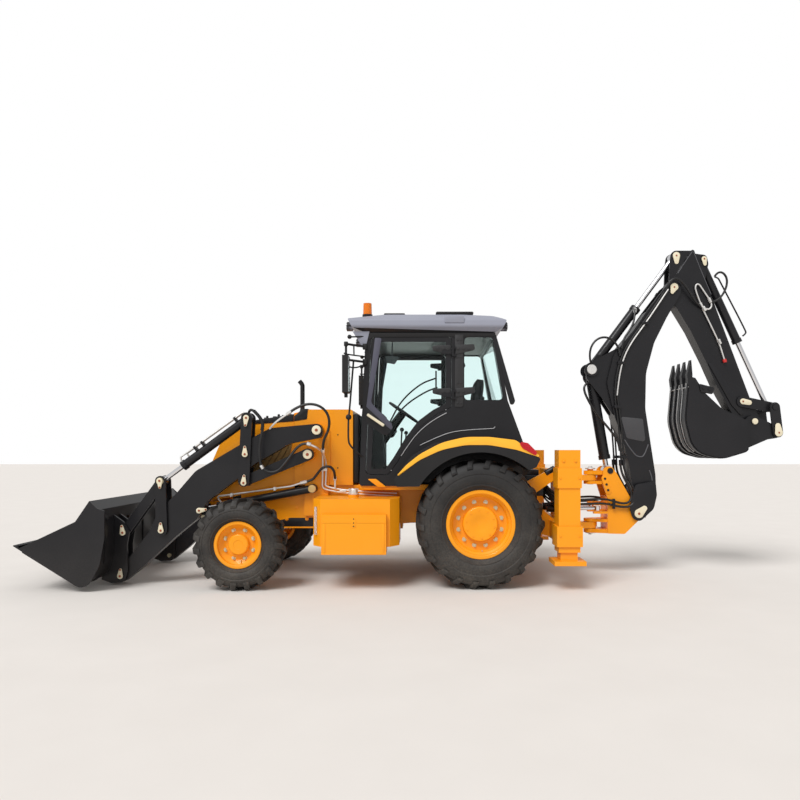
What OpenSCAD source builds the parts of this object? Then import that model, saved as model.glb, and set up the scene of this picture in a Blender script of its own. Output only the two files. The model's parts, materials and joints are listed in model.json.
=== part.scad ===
// Backhoe loader, standing on its wheels.
// X runs along the machine, the loading bucket at -X and the digging arm at +X.
// Y runs across it, Z up from the ground, which is at Z = 0.

/* [Wheels] */
// Distance between the front and the rear axle
wheelbase = 2435; // [2400:5:2480]
// Place of the rear axle along the machine
rear_axle_x = 543; // [530:1:556]
// Radius of a front tyre at its lug tips
front_tyre_r = 460; // [450:1:470]
// Width of a front tyre
front_tyre_w = 350; // [330:1:360]
// Radius of a rear tyre at its lug tips
rear_tyre_r = 657; // [645:1:665]
// Width of a rear tyre
rear_tyre_w = 490; // [460:1:500]
// Radius of a front rim's outer flange
front_rim_r = 238; // [228:1:246]
// Radius of a rear rim's outer flange
rear_rim_r = 350; // [335:1:362]
// Distance between the middles of the front tyres
front_track = 1900; // [1890:1:1920]
// Distance between the middles of the rear tyres
rear_track = 1640; // [1620:1:1650]
// Height of a tyre's lugs
lug_h = 30; // [20:1:36]

/* [Loader] */
// Half of the distance between the middles of the loader arms
arm_y = 695; // [690:1:700]
// Thickness of a loader arm
arm_w = 110; // [90:1:120]
// Diameter of the loader's pins
pin_d = 50; // [40:1:56]
// Thickness of the lever plates beside the arms
lever_t = 25; // [16:1:26]
// Width of the loading bucket
bucket_w = 2300; // [2200:10:2300]
// Thickness of the loading bucket's sheets
bucket_t = 14; // [10:1:20]
// Diameter of a lift cylinder's barrel
lift_d = 86; // [70:1:92]
// Diameter of a dump cylinder's barrel
dump_d = 92; // [70:1:100]

/* [Body] */
// Width of the hood
hood_w = 940; // [900:5:950]
// Width of the fixed cowl behind the hood
cowl_w = 980; // [960:5:1000]
// Thickness of the body sheets
sheet_t = 5; // [3:1:8]
// Width of the cab over its doors
cab_w = 1480; // [1440:10:1500]
// Width of the cab's roof
roof_w = 1600; // [1560:10:1640]
// Width over the rear fenders
fender_w = 2120; // [2080:10:2160]

/* [Digging arm] */
// Width of the boom
boom_w = 240; // [220:2:250]
// Width of the dipper
dipper_w = 180; // [160:2:190]
// Width of the digging bucket
digger_w = 560; // [500:10:600]
// Diameter of the digging arm's cylinders
digger_cyl_d = 120; // [100:2:124]
// Diameter of the digging arm's pins
digger_pin_d = 60; // [50:1:64]

/* [Stabilisers] */
// Half of the distance between the outer faces of the stabiliser tubes
stab_y = 1100; // [1080:1:1120]
// Outer size of a stabiliser's fixed tube
stab_tube = 216; // [206:1:220]
// Length and width of a stabiliser's foot plate
stab_pad = 315; // [300:1:330]

/* [Hidden] */

// Colours of the paint, the rubber, the bright metal and the glass
orange = [0.96, 0.55, 0.05];
black = [0.09, 0.09, 0.10];
rubber = [0.07, 0.07, 0.07];
bright = [0.82, 0.83, 0.84];
grey = [0.62, 0.63, 0.66];
glass = [0.65, 0.85, 0.85, 0.4];
zinc = [0.80, 0.76, 0.55];

// Steps of a rounded corner and facets of a round piece
corner_steps = 5;
$fn = 48;
// Gap between two pieces that are bolted or pressed together
fit = 0.3;
// Gap between a pin and its bore
run = 0.5;
// Gap between a turning piece and the piece beside it
side_gap = 5;

// A point of an outline is [x, z, radius of the corner there]
function unit(v) = v / norm(v);
function corner_turn(a) = a > 180 ? a - 360 : a < -180 ? a + 360 : a;
function corner(a, b, c) =
    let (p = [b[0], b[1]],
         u = unit([a[0], a[1]] - p),
         w = unit([c[0], c[1]] - p),
         half = acos(u * w) / 2,
         middle = p + unit(u + w) * b[2] / sin(half),
         from = p + u * b[2] / tan(half) - middle,
         to = p + w * b[2] / tan(half) - middle,
         start = atan2(from[1], from[0]),
         turn = corner_turn(atan2(to[1], to[0]) - start))
    [for (i = [0:corner_steps])
        middle + b[2] * [cos(start + turn * i / corner_steps), sin(start + turn * i / corner_steps)]];
function rounded(p) =
    [for (i = [0:len(p) - 1])
        each (len(p[i]) < 3 || p[i][2] == 0
            ? [[p[i][0], p[i][1]]]
            : corner(p[(i + len(p) - 1) % len(p)], p[i], p[(i + 1) % len(p)]))];

// Points of an arc about c, and the outline of a bar with round ends at a and b
function arc(c, r, from, to, steps = 12) =
    [for (i = [0:steps]) c + r * [cos(from + (to - from) * i / steps), sin(from + (to - from) * i / steps)]];
function bar(a, ra, b, rb) =
    let (d = b - a, h = atan2(d[1], d[0]), k = acos((ra - rb) / norm(d)))
    concat(arc(a, ra, h + k, h + 360 - k), arc(b, rb, h - k, h + k));
// A point at a share of the way from a to b
function along(a, b, mm) = a + unit(b - a) * mm;

// A flat outline in X and Z, made as thick as from y0 to y1
module plate(y0, y1) {
    translate([0, y1, 0]) rotate([90, 0, 0]) linear_extrude(y1 - y0) children();
}
// A round bar across the machine at p = [x, z]
module cross(p, d, y0, y1) {
    translate([p[0], y0, p[1]]) rotate([-90, 0, 0]) cylinder(d = d, h = y1 - y0);
}
// The same piece on both sides of the machine
module both() {
    children();
    mirror([0, 1, 0]) children();
}
// A round bar from a towards b in the plane y, between two distances from a
module strut(a, b, y, d, from, to) {
    turn = atan2(b[0] - a[0], b[1] - a[1]);
    translate([a[0], y, a[1]]) rotate([0, turn, 0]) translate([0, 0, from]) cylinder(d = d, h = to - from);
}

// Wheels. A wheel lies with its axis along Z and its outer side up, then turns onto its axle.
front_x = rear_axle_x - wheelbase;
front_z = front_tyre_r;
rear_z = rear_tyre_r;
rim_t = 12;
front_bead_w = 270;
rear_bead_w = 400;
front_bead_r = front_rim_r - 22;
rear_bead_r = rear_rim_r - 26;
// Share of the sidewall's height at which the tyre is widest
bulge = 0.35;
front_hub_r = 106;
rear_hub_r = 180;
spindle_d = 80;

module at_wheel(x, z, track, side) {
    translate([x, side * track / 2, z]) rotate([-side * 90, 0, 0]) children();
}
module tyre(r, w, bead_r, bead_w, lugs) {
    half = w / 2;
    carcass = r - lug_h;
    belly = bead_r + (carcass - bead_r) * bulge;
    color(rubber) {
        rotate_extrude()
            polygon([
                [bead_r + fit, -bead_w / 2 + 3 * rim_t], [belly, -half], [carcass - 14, -half + 30],
                [carcass, -half * 0.5], [carcass, half * 0.5], [carcass - 14, half - 30],
                [belly, half], [bead_r + fit, bead_w / 2 - 3 * rim_t]]);
        intersection() {
            for (side = [0, 1], i = [0:lugs - 1])
                rotate([0, 0, (i + side / 2) * 360 / lugs]) mirror([0, 0, side]) lug(r, carcass, half);
            rotate_extrude()
                polygon([[carcass - 40, -half], [r - 16, -half + 8], [r, -half + 40],
                    [r, half - 40], [r - 16, half - 8], [carcass - 40, half]]);
        }
    }
}
// One lug, slanted from the middle line to the shoulder
bar_w = 50;
bar_slant = 28;
module lug(r, carcass, half) {
    bar_l = (half + 24) / cos(bar_slant);
    translate([carcass - 40, 0, half / 2]) rotate([bar_slant, 0, 0])
        translate([0, -bar_w / 2, -bar_l / 2]) cube([r + 20 - carcass + 40, bar_w, bar_l]);
}
// Wheel disc, dished in from the outer flange, with its hub and studs
module rim(flange_r, bead_r, bead_w, hub_r, disc_z, studs, stud_r) {
    half = bead_w / 2;
    color(orange)
        difference() {
            union() {
                rotate_extrude()
                    polygon([
                        [bead_r - rim_t, -half], [bead_r, -half], [bead_r, half - rim_t],
                        [flange_r, half - rim_t], [flange_r, half], [bead_r - rim_t, half],
                        [bead_r - rim_t, disc_z + rim_t], [hub_r, disc_z + rim_t],
                        [hub_r, disc_z], [bead_r - rim_t, disc_z]]);
                rotate_extrude()
                    polygon([[bead_r - rim_t, -half], [flange_r, -half],
                        [flange_r, -half + rim_t], [bead_r - rim_t, -half + rim_t]]);
                translate([0, 0, disc_z - 60]) cylinder(r = hub_r, h = 110);
                translate([0, 0, disc_z + 50]) cylinder(r1 = hub_r, r2 = hub_r * 0.86, h = 14);
                for (i = [0:studs - 1])
                    rotate([0, 0, i * 360 / studs])
                        translate([stud_r, 0, disc_z]) cylinder(d = 26, h = rim_t + 22);
            }
            translate([0, 0, disc_z - 61]) cylinder(d = spindle_d + 2 * run, h = 81);
        }
}
module front_tyre(side) { at_wheel(front_x, front_z, front_track, side) tyre(front_tyre_r, front_tyre_w, front_bead_r, front_bead_w, 19); }
module rear_tyre(side) { at_wheel(rear_axle_x, rear_z, rear_track, side) tyre(rear_tyre_r, rear_tyre_w, rear_bead_r, rear_bead_w, 22); }
front_disc_z = 60;
rear_disc_z = 90;
module front_rim(side) {
    at_wheel(front_x, front_z, front_track, side)
        rim(front_rim_r, front_bead_r, front_bead_w, front_hub_r, front_disc_z, 8, 148);
}
module rear_rim(side) {
    at_wheel(rear_axle_x, rear_z, rear_track, side)
        rim(rear_rim_r, rear_bead_r, rear_bead_w, rear_hub_r, rear_disc_z, 12, 217);
}

// Axles and steering knuckles
// The king pin stands this far inside the middle of the tyre
kingpin_in = 185;
kingpin_y = front_track / 2 - kingpin_in;
kingpin_d = 50;
beam_d = 130;
yoke_h = 220;
yoke_t = 34;
yoke_l = 120;
spindle_reach = 70;
module front_axle() {
    color(orange) {
        translate([front_x, 0, front_z]) {
            rotate([90, 0, 0]) cylinder(d = beam_d, h = 2 * (kingpin_y - 110), center = true);
            translate([0, -60, 0]) sphere(d = 250);
            translate([0, 0, 110]) cube([180, 150, 100], center = true);
            both() {
                translate([-yoke_l / 2, kingpin_y - 130, -yoke_h / 2]) cube([yoke_l, 40, yoke_h]);
                for (z = [-yoke_h / 2, yoke_h / 2 - yoke_t])
                    translate([-yoke_l / 2, kingpin_y - 130, z]) cube([yoke_l, 170, yoke_t]);
                translate([0, kingpin_y, -yoke_h / 2 - 12]) cylinder(d = kingpin_d, h = yoke_h + 24);
            }
        }
    }
}
// The knuckle turns on the king pin and carries the spindle
module knuckle(side) {
    inner_h = yoke_h - 2 * yoke_t - 2 * side_gap;
    color(orange)
        translate([front_x, side * kingpin_y, front_z])
            difference() {
                union() {
                    cylinder(d = yoke_l - 10, h = inner_h, center = true);
                    rotate([-side * 90, 0, 0]) {
                        cylinder(d = inner_h, h = 120);
                        cylinder(d = spindle_d, h = front_track / 2 - kingpin_y + front_disc_z + 15);
                    }
                }
                cylinder(d = kingpin_d + 2 * run, h = yoke_h, center = true);
            }
}
housing_d = 230;
module rear_axle() {
    color(orange)
        translate([rear_axle_x, 0, rear_z]) {
            rotate([90, 0, 0]) cylinder(d = housing_d, h = 2 * 590, center = true);
            rotate([90, 0, 0]) cylinder(d = 420, h = 300, center = true);
            rotate([90, 0, 0]) cylinder(d = spindle_d, h = rear_track + 2 * rear_disc_z + 30, center = true);
            both() translate([0, 590, 0]) rotate([-90, 0, 0]) cylinder(d = 330, h = 60);
        }
}

// Chassis: two deep side rails joined by cross members, with the plate that shuts its nose
rail_y = 400;
rail_t = 60;
nose_x = -2370;
// Height of the hood's lower front edge
hood_z = 860;
tail_x = 1390;
deck_z = 1030;
module chassis() {
    color(orange) {
        both()
            plate(rail_y, rail_y + rail_t)
                polygon(rounded([
                    [nose_x, 640, 20], [-2150, 560, 60], [-2080, 650, 30], [-1700, 650, 30], [-1600, 560, 60],
                    [-900, 560, 30], [120, 640, 60], [250, 790, 60], [840, 790, 60], [960, 560, 60],
                    [tail_x, 460, 0], [tail_x, 650, 0], [1130, 900, 40], [tail_x, tie_z[0], 0],
                    [tail_x, tie_z[1], 0], [1340, tie_z[1], 20], [1030, deck_z, 20], [-1000, deck_z, 0], [-1340, 930, 40], [nose_x, 850, 20]]));
        for (x = [-2340, -2100, -1420, -700, 1000])
            translate([x, -rail_y, 620]) cube([60, 2 * rail_y, 160]);
        translate([nose_x - 20, -rail_y - rail_t, 620]) cube([20, 2 * (rail_y + rail_t), hood_z - side_gap - 620]);
        translate([front_x - 90, -75, front_z + 160]) cube([180, 150, 60]);
        translate([front_x - 90, -rail_y, front_z + 220]) cube([180, 2 * rail_y, 40]);
        both() translate([rear_axle_x - 140, rail_y, rear_z + housing_d / 2 + fit]) cube([280, rail_t, 140]);
    }
    towers();
    rear_frame();
}

// Pins of the loader, [x, z] with the bucket on the ground
arm_pivot = [-1151, 1618];
level_pivot = [-1249, 1364];
lift_base = [-1221, 996];
lift_eye = [-2377, 776];
crank_top = [-1879, 1745];
crank_middle = [-1896, 1379];
crank_bottom = [-1908, 1085];
lever_top = [-2779, 1085];
lever_foot = [-2766, 577];
bucket_top = [-3165, 550];
bucket_foot = [-3190, 100];

// Places across the machine, on its +Y side
arm_in = arm_y - arm_w / 2;
arm_out = arm_y + arm_w / 2;
lever_in = arm_in - side_gap - lever_t;
lever_out = arm_out + side_gap + lever_t;
cylinder_y = 555;
tower_t = 16;
tower_y = cowl_w / 2;
cap_t = 12;

// Round end of a pin with its cap, held by the tower and reaching out to the piece it carries
module tower_pin(p, from, to, cap_d) {
    cross(p, pin_d, tower_y, to + side_gap + cap_t);
    cross(p, pin_d * 2, tower_y + tower_t - 1, from - side_gap);
    cross(p, cap_d, to + side_gap, to + side_gap + cap_t);
}
module towers() {
    both() {
        color(orange) {
            plate(tower_y, tower_y + tower_t)
                polygon(rounded([
                    [-1330, 700, 20], [-1080, 700, 20], [-1040, 1250, 80], [-1050, 1640, 40],
                    [-1120, 1720, 40], [-1260, 1620, 60], [-1330, 1380, 60], [-1310, 1000, 60]]));
            translate([-1320, rail_y + rail_t - 1, 700]) cube([240, tower_y - rail_y - rail_t + 2, 290]);
        }
        color(bright) {
            tower_pin(arm_pivot, arm_in, arm_out, 78);
            tower_pin(level_pivot, level_in, level_out, 70);
            cross(lift_base, pin_d, tower_y, cylinder_y + lift_d / 2 + side_gap + cap_t);
            cross(lift_base, 84, cylinder_y + lift_d / 2 + side_gap, cylinder_y + lift_d / 2 + side_gap + cap_t);
        }
    }
}
level_in = arm_y - 30;
level_out = arm_y + 30;

module engine() {
    color(black) translate([-2160, -270, 780 + fit]) cube([710, 540, 600]);
}

// Hood: a sheet cover over the engine, hinged along its top rear edge
hood_rear_x = -1440;
hood_hinge = [-1437, 1802];
module hood_outline() {
    polygon(rounded([
        [nose_x, hood_z, 0], [-2340, 1260, 60], [-2227, 1519, 110], [-1868, 1726, 80],
        [hood_rear_x, 1786, 0], [hood_rear_x, 1040, 0], [-1700, 1020, 60], [-2100, 900, 60]]));
}
module hood() {
    half = hood_w / 2;
    color(orange)
        difference() {
            plate(-half, half) hood_outline();
            plate(sheet_t - half, half - sheet_t) {
                offset(delta = -sheet_t) hood_outline();
                translate([0, -150]) offset(delta = -sheet_t) hood_outline();
                translate([150, -10]) offset(delta = -sheet_t) hood_outline();
            }
        }
    color(black)
        both() {
            hood_grille(half);
            hood_strap([-1520, 1776], hood_strap_y);
        }
    nose();
}
// Vents in the hood's sides: a rim with slanted slots through its plate
grille_t = 6;
slot_w = 12;
slot_pitch = 30;
module grille_outline() {
    polygon(rounded([[-2060, 1090, 50], [-1730, 1130, 100], [-1505, 1250, 80], [-1452, 1510, 30],
        [-1600, 1585, 50], [-1870, 1440, 150], [-2065, 1260, 50]]));
}
module hood_grille(half) {
    difference() {
        plate(half - 1, half + grille_t) grille_outline();
        plate(half, half + grille_t + 1)
            intersection() {
                offset(delta = -30) grille_outline();
                for (i = [0:13]) translate([-2060 + i * 2 * slot_pitch, 1000]) rotate(-30) square([slot_w, 800]);
            }
    }
}
// Radiator grille and headlamps on the hood's nose
lamp_y = 372;
module nose() {
    color(black) {
        for (z = [930:36:1220]) translate([nose_x - 14, -270, z]) cube([60, 540, 14]);
        for (y = [-270, 258]) translate([nose_x - 14, y, 905]) cube([60, 12, 345]);
        both() translate([nose_x - 16, lamp_y, 1100]) rotate([0, 90, 0]) cylinder(d = 150, h = 50);
    }
}
// Strap of a hood hinge, from its sleeve to a point of the sheet
hood_pin_d = 16;
hood_sleeve_l = 50;
hood_strap_y = 320;
module hood_strap(foot, y) {
    difference() {
        plate(y, y + hood_sleeve_l) polygon(bar(hood_hinge, 14, foot, 5));
        cross(hood_hinge, hood_pin_d + 2 * run, y - 1, y + hood_sleeve_l + 1);
    }
}
// Cowl: the fixed sheet box between the hood and the cab
cowl_front_x = hood_rear_x + 6;
cowl_rear_x = -797;
cowl_top_z = 1850;
module cowl_outline() {
    polygon(rounded([
        [cowl_front_x, deck_z, 0], [cowl_front_x, 1786, 0], [-1330, cowl_top_z, 60],
        [cowl_rear_x, cowl_top_z, 30], [cowl_rear_x, deck_z, 0]]));
}
module cowl() {
    half = cowl_w / 2;
    color(orange)
        difference() {
            plate(-half, half) cowl_outline();
            plate(sheet_t - half, half - sheet_t) {
                offset(delta = -sheet_t) cowl_outline();
                translate([0, -100]) offset(delta = -sheet_t) cowl_outline();
            }
        }
    color(black)
        both() {
            plate(hood_strap_y + hood_sleeve_l + 1, hood_strap_y + 2 * hood_sleeve_l)
                polygon(bar(hood_hinge, 14, [-1370, 1824], 5));
            cross(hood_hinge, hood_pin_d, hood_strap_y + 1, hood_strap_y + hood_sleeve_l + 2);
        }
    exhaust();
}
exhaust_d = 50;
exhaust_h = 330;
module exhaust_place() { translate([-1385, -250, cowl_top_z - 60]) children(); }
module exhaust() {
    bend_r = 60;
    color(black)
        exhaust_place() {
            translate([0, 0, -90]) cylinder(d = exhaust_d, h = exhaust_h + 90);
            translate([-bend_r, 0, exhaust_h])
                rotate([90, 0, 0])
                    rotate_extrude(angle = 40) translate([bend_r, 0]) circle(d = exhaust_d);
            translate([-bend_r, 0, exhaust_h]) rotate([0, -40, 0]) translate([bend_r, 0, 0]) cylinder(d = exhaust_d, h = 30);
            translate([0, 0, -290]) cylinder(d = 76, h = 200);
        }
}

// Tanks beside the chassis, and the tool box on the left one
tank_top_z = 918;
tank_bottom_z = 444;
tank_y = 1085;
box_y = 1145;
box_x = [-1048, -406];
box_z = [380, 770];
lid_drop = 85;
tank_in = cowl_w / 2 + tower_t + fit;
module tank() {
    translate([0, 0, tank_bottom_z])
        linear_extrude(tank_top_z - tank_bottom_z)
            polygon([[-1150, tank_in], [-1150, 980], [-1069, tank_y], [-370, tank_y], [-280, 960], [-280, tank_in]]);
    translate([-1000, rail_y + rail_t, 640]) cube([600, tank_in - rail_y - rail_t + 1, 180]);
}
module tanks() {
    color(orange) {
        difference() {
            union() {
                mirror([0, 1, 0]) tank();
                translate([box_x[0], -box_y, box_z[0]])
                    cube([box_x[1] - box_x[0], box_y - 880, box_z[1] - box_z[0] - lid_t - fit]);
            }
            translate([box_x[0] + sheet_t, sheet_t - box_y, box_z[0] + sheet_t])
                cube([box_x[1] - box_x[0] - 2 * sheet_t, box_y - 900, box_z[1] - box_z[0] - 3 * sheet_t]);
            translate([box_x[0] + sheet_t, -box_y - 1, box_z[1] - lid_drop])
                cube([box_x[1] - box_x[0] - 2 * sheet_t, box_y - tank_y + 1, lid_drop]);
            translate([box_x[0] - 1, -box_y - 1, box_z[1] - lid_drop])
                cube([box_x[1] - box_x[0] + 2, lid_t + 1 + fit, lid_drop]);
        }
        tank();
        translate([-760, -800, tank_top_z - 1]) cylinder(d = 110, h = 46);
    }
}
lid_t = 6;
module toolbox_lid() {
    w = box_x[1] - box_x[0];
    color(orange)
        translate([box_x[0], 0, 0]) {
            translate([0, -box_y, box_z[1] - lid_t]) cube([w, box_y - tank_y - 2, lid_t]);
            translate([0, -box_y, box_z[1] - lid_drop + 2]) cube([w, lid_t, lid_drop - 2]);
        }
}

// A cross section in Y and Z, made as long as from x0 to x1
module slice(x0, x1) {
    translate([x0, 0, 0]) rotate([90, 0, 90]) linear_extrude(x1 - x0) children();
}

// Cab: a hollow shell with its windows and door openings cut
post_t = 40;
arch_r = 770;
cab_y = cab_w / 2;
seat_deck_z = 1470;
module cab_outline() {
    polygon(concat(
        rounded([[-708, deck_z, 30], [-640, 2640, 60], [712, 2640, 60], [852, 1923, 60], [1009, 1500, 60],
            [1009, 1269]]),
        arc([rear_axle_x, rear_z], arch_r, 53, 151, 20)));
}
door_points = [
    [-644, 1150, 50], [-580, 2605, 60], [262, 2605, 50], [262, 1860, 40], [100, 1778, 150],
    [-45, 1670, 150], [-170, 1504, 200], [-300, 1290, 100], [-400, 1150, 50]];
module door_outline() { polygon(rounded(door_points)); }
module quarter_outline() { polygon(rounded([[395, 1935, 40], [395, 2590, 40], [690, 2590, 40], [806, 1935, 40]])); }
door_hinge = [276, cab_y + 19];
hinge_z = [1990, 2440];
hinge_h = 50;
hinge_d = 30;
hinge_pin_d = 16;
// Two brackets on the middle post for each of a door's hinges, with the pin between them
module hinge_brackets() {
    translate([door_hinge[0], door_hinge[1], 0])
        for (z = hinge_z) {
            translate([0, 0, z - hinge_h]) cylinder(d = hinge_pin_d, h = 2 * hinge_h);
            for (low = [z - hinge_h, z + hinge_h / 2 + run]) {
                translate([0, 0, low]) cylinder(d = hinge_d, h = hinge_h / 2 - run);
                translate([0, -20, low]) cube([30, 28, hinge_h / 2 - run]);
            }
        }
}
module cab_frame() {
    color(black) {
        both() hinge_brackets();
        difference() {
            union() {
                plate(-cab_y, cab_y) cab_outline();
            }
            plate(post_t - cab_y, cab_y - post_t) offset(delta = -post_t) cab_outline();
            plate(-cab_y - 1, cab_y + 1) {
                door_outline();
                quarter_outline();
            }
            slice(-900, -500)
                polygon(rounded([[-670, 1180, 60], [670, 1180, 60], [670, 2570, 60], [-670, 2570, 60]]));
            slice(650, 1100)
                polygon(rounded([[-640, 1960, 60], [640, 1960, 60], [640, 2560, 60], [-640, 2560, 60]]));
        }
        translate([150, post_t - cab_y - 1, seat_deck_z - 25]) cube([760, cab_w - 2 * post_t + 2, 25]);
    }
}
// Glass panes, each seated in the thickness of its frame
pane_t = 6;
module pane(y0) { plate(y0, y0 + pane_t) offset(delta = -fit) children(); }
module cab_glass() {
    color(glass) {
        both() pane(cab_y - post_t / 2) quarter_outline();
        intersection() {
            slice(-900, -500)
                offset(delta = -fit)
                    polygon(rounded([[-670, 1180, 60], [670, 1180, 60], [670, 2570, 60], [-670, 2570, 60]]));
            plate(-cab_y, cab_y)
                polygon([[-688, 1000], [-618, 2640], [-612, 2640], [-682, 1000]]);
        }
        intersection() {
            slice(600, 1100)
                offset(delta = -fit)
                    polygon(rounded([[-640, 1960, 60], [640, 1960, 60], [640, 2560, 60], [-640, 2560, 60]]));
            plate(-cab_y, cab_y)
                polygon([[832, 1923], [690, 2640], [696, 2640], [838, 1923]]);
        }
    }
}
// Door: a frame hinged on the middle post, with its own pane
door_gap = 6;
door_rim = 62;
module door(side) {
    y0 = cab_y - post_t + 4;
    color(black)
        scale([1, side, 1]) {
            difference() {
                plate(y0, cab_y) offset(delta = -door_gap) door_outline();
                plate(y0 - 1, cab_y + 1) offset(delta = -door_rim) door_outline();
            }
            for (z = hinge_z)
                difference() {
                    union() {
                        translate([door_hinge[0] - 120, cab_y - 1, z - hinge_h / 2]) cube([100, 14, hinge_h]);
                        translate([door_hinge[0] - 120, cab_y + 7, z - hinge_h / 2]) cube([120, 12, hinge_h]);
                        translate([door_hinge[0], door_hinge[1], z - hinge_h / 2]) cylinder(d = hinge_d, h = hinge_h);
                    }
                    translate([door_hinge[0], door_hinge[1], z - hinge_h]) cylinder(d = hinge_pin_d + 2 * run, h = 2 * hinge_h);
                }
        }
}
module door_glass(side) {
    color(glass) scale([1, side, 1]) pane(cab_y - post_t / 2) offset(delta = -door_rim) door_outline();
}

// Roof: one moulded cap, crowned both ways
module cab_roof() {
    half = roof_w / 2;
    color(grey)
        intersection() {
            plate(-half, half)
                polygon(rounded([
                    [-829, 2784, 12], [-780, 2690, 40], [-640, 2640, 60], [712, 2640, 30], [800, 2690, 40],
                    [836, 2764, 12], [700, 2822, 200], [200, 2858, 900], [-400, 2852, 900]]));
            slice(-900, 900)
                polygon(rounded([
                    [-half + 60, 2640, 30], [-half, 2700, 40], [-half + 10, 2775, 40], [-half + 150, 2850, 80],
                    [half - 150, 2850, 80], [half - 10, 2775, 40], [half, 2700, 40], [half - 60, 2640, 30]]));
        }
    color(black) {
        both() {
            work_lamp([-790, 560], 180);
            work_lamp([800, 560], 0);
        }
        translate([60, -330, 2830]) cube([420, 660, 42]);
    }
}
// Round lamp that hangs at the roof's edge
module work_lamp(place, turn) {
    translate([place[0], place[1], 2735]) rotate([0, 0, turn]) {
        rotate([0, 90, 0]) cylinder(d = 100, h = 62);
        translate([0, -12, 0]) cube([20, 24, 60]);
    }
}

// Fenders over the rear tyres
fender_y = fender_w / 2;
fender_t = 20;
module fender_outline() {
    polygon(concat(
        rounded([[-300, 1040, 10], [-335, 1115, 20], [-165, 1345, 200], [70, 1480, 200], [500, 1552, 500],
            [930, 1495, 200], [1140, 1322, 20], [1095, 1235, 10]]),
        arc([rear_axle_x, rear_z], arch_r - 40, 49, 148, 20)));
}
module fenders() {
    color(black)
        both()
            difference() {
                plate(cab_y + fit, fender_y) fender_outline();
                plate(cab_y, fender_y - fender_t) offset(delta = -fender_t) fender_outline();
            }
}

// Seat, controls, mirrors and lamps
seat_x = 60;
module seat() {
    color(black) {
        translate([seat_x + 70, -170, seat_deck_z + fit]) cube([340, 340, 130]);
        translate([seat_x, -250, seat_deck_z + 130]) cube([480, 500, 110]);
        translate([seat_x + 420, -230, seat_deck_z + 200]) rotate([0, 8, 0]) cube([110, 460, 560]);
    }
}
wheel_r = 190;
cab_floor_z = deck_z + post_t + 4 + fit;
module controls() {
    color(black) {
        translate([-590, -300, cab_floor_z]) cube([120, 600, 560]);
        translate([-500, 0, 1500]) rotate([0, 35, 0]) cylinder(d = 90, h = 420);
        translate([-500, 0, 1500]) rotate([0, 35, 0]) translate([0, 0, 420]) {
            rotate_extrude() translate([wheel_r, 0]) circle(d = 28);
            cylinder(d = 80, h = 20);
            for (a = [0, 120, 240]) rotate([0, 0, a]) translate([0, -14, 2]) cube([wheel_r, 28, 10]);
        }
        translate([730, -330, seat_deck_z + fit]) cube([90, 660, 330]);
    }
}
mirror_x = -823;
mirror_y = 950;
module mirrors() {
    color(black)
        both() {
            translate([mirror_x - 30, mirror_y - 95, 1990]) cube([60, 190, 376]);
            translate([mirror_x, mirror_y, 1960]) cylinder(d = 24, h = 550);
            for (z = [2330, 2490])
                hull() {
                    translate([mirror_x, mirror_y, z]) sphere(d = 24, $fn = 16);
                    translate([-640, cab_y + 12 + fit, z]) sphere(d = 24, $fn = 16);
                }
        }
}
beacon_z = 2824.5;
module lamps() {
    color("orange") {
        translate([-634, -550, beacon_z]) cylinder(d = 110, h = 40);
        translate([-634, -550, beacon_z + 40]) cylinder(d1 = 95, d2 = 88, h = 120);
    }
    color("red")
        both()
            plate(fender_y, fender_y + 14)
                polygon(rounded([[905, 1500, 20], [1010, 1480, 30], [1105, 1385, 20], [1085, 1355, 10], [960, 1425, 20]]));
}

// Hydraulic cylinders: a bored barrel pinned at a, and a rod whose eye lies at b
cap_l = 46;
module barrel(a, b, y, d, reach, rod_d, eye_w, eye_pin) {
    color(black)
        difference() {
            union() {
                strut(a, b, y, d, d * 0.45, reach);
                strut(a, b, y, d + 14, reach - cap_l, reach);
                cross(a, eye_pin * 1.9, y - eye_w / 2, y + eye_w / 2);
            }
            cross(a, eye_pin + 2 * run, y - eye_w, y + eye_w);
            strut(a, b, y, rod_d + 2 * run, d + 30, reach + 1);
        }
}
module rod(a, b, y, rod_d, rod_l, eye_d, eye_w) {
    color(bright) strut(a, b, y, rod_d, norm(b - a) - rod_l, norm(b - a));
    color(black) cross(b, eye_d, y - eye_w / 2, y + eye_w / 2);
}

// Loader arms: two deep plates joined by a cross tube, with lugs for the lift cylinders
tube_d = 150;
tube_at = [-2585, 800];
lug_t = 18;
// Thickness of the plates that the arms are welded from
box_t = 14;
module arm_outline() {
    polygon(rounded([
        [-1100, 1690, 60], [-1640, 1640, 200], [-1940, 1473, 300], [-2420, 1190, 200], [-2640, 935, 200],
        [-2815, 760, 100], [-2900, 560, 200], [-3110, 290, 200], [-3243, 147, 0], [-3146, 46, 0], [-2973, 185, 100],
        [-2603, 525, 200], [-2411, 680, 100], [-2293, 878, 200], [-1955, 1127, 300], [-1807, 1262, 300],
        [-1430, 1478, 200], [-1080, 1545, 60]]));
}
module loader_arms() {
    color(black) {
        both()
            difference() {
                union() {
                    difference() {
                        plate(arm_in, arm_out) arm_outline();
                        plate(arm_in + box_t, arm_out - box_t) offset(delta = -box_t) arm_outline();
                    }
                    for (p = [arm_pivot, crank_middle, lever_foot, bucket_foot])
                        cross(p, p == bucket_foot ? 140 : 100, arm_in, arm_out);
                    for (y = [cylinder_y - lift_d / 2 - side_gap - lug_t, cylinder_y + lift_d / 2 + side_gap])
                        plate(y, y + lug_t) polygon(bar(tube_at, tube_d / 2 + 10, lift_eye, 60));
                }
                for (p = [arm_pivot, crank_middle, lever_foot, bucket_foot])
                    cross(p, pin_d + 2 * run, arm_in - 1, arm_out + 1);
            }
        cross(tube_at, tube_d, -arm_in - 1, arm_in + 1);
    }
}
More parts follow.
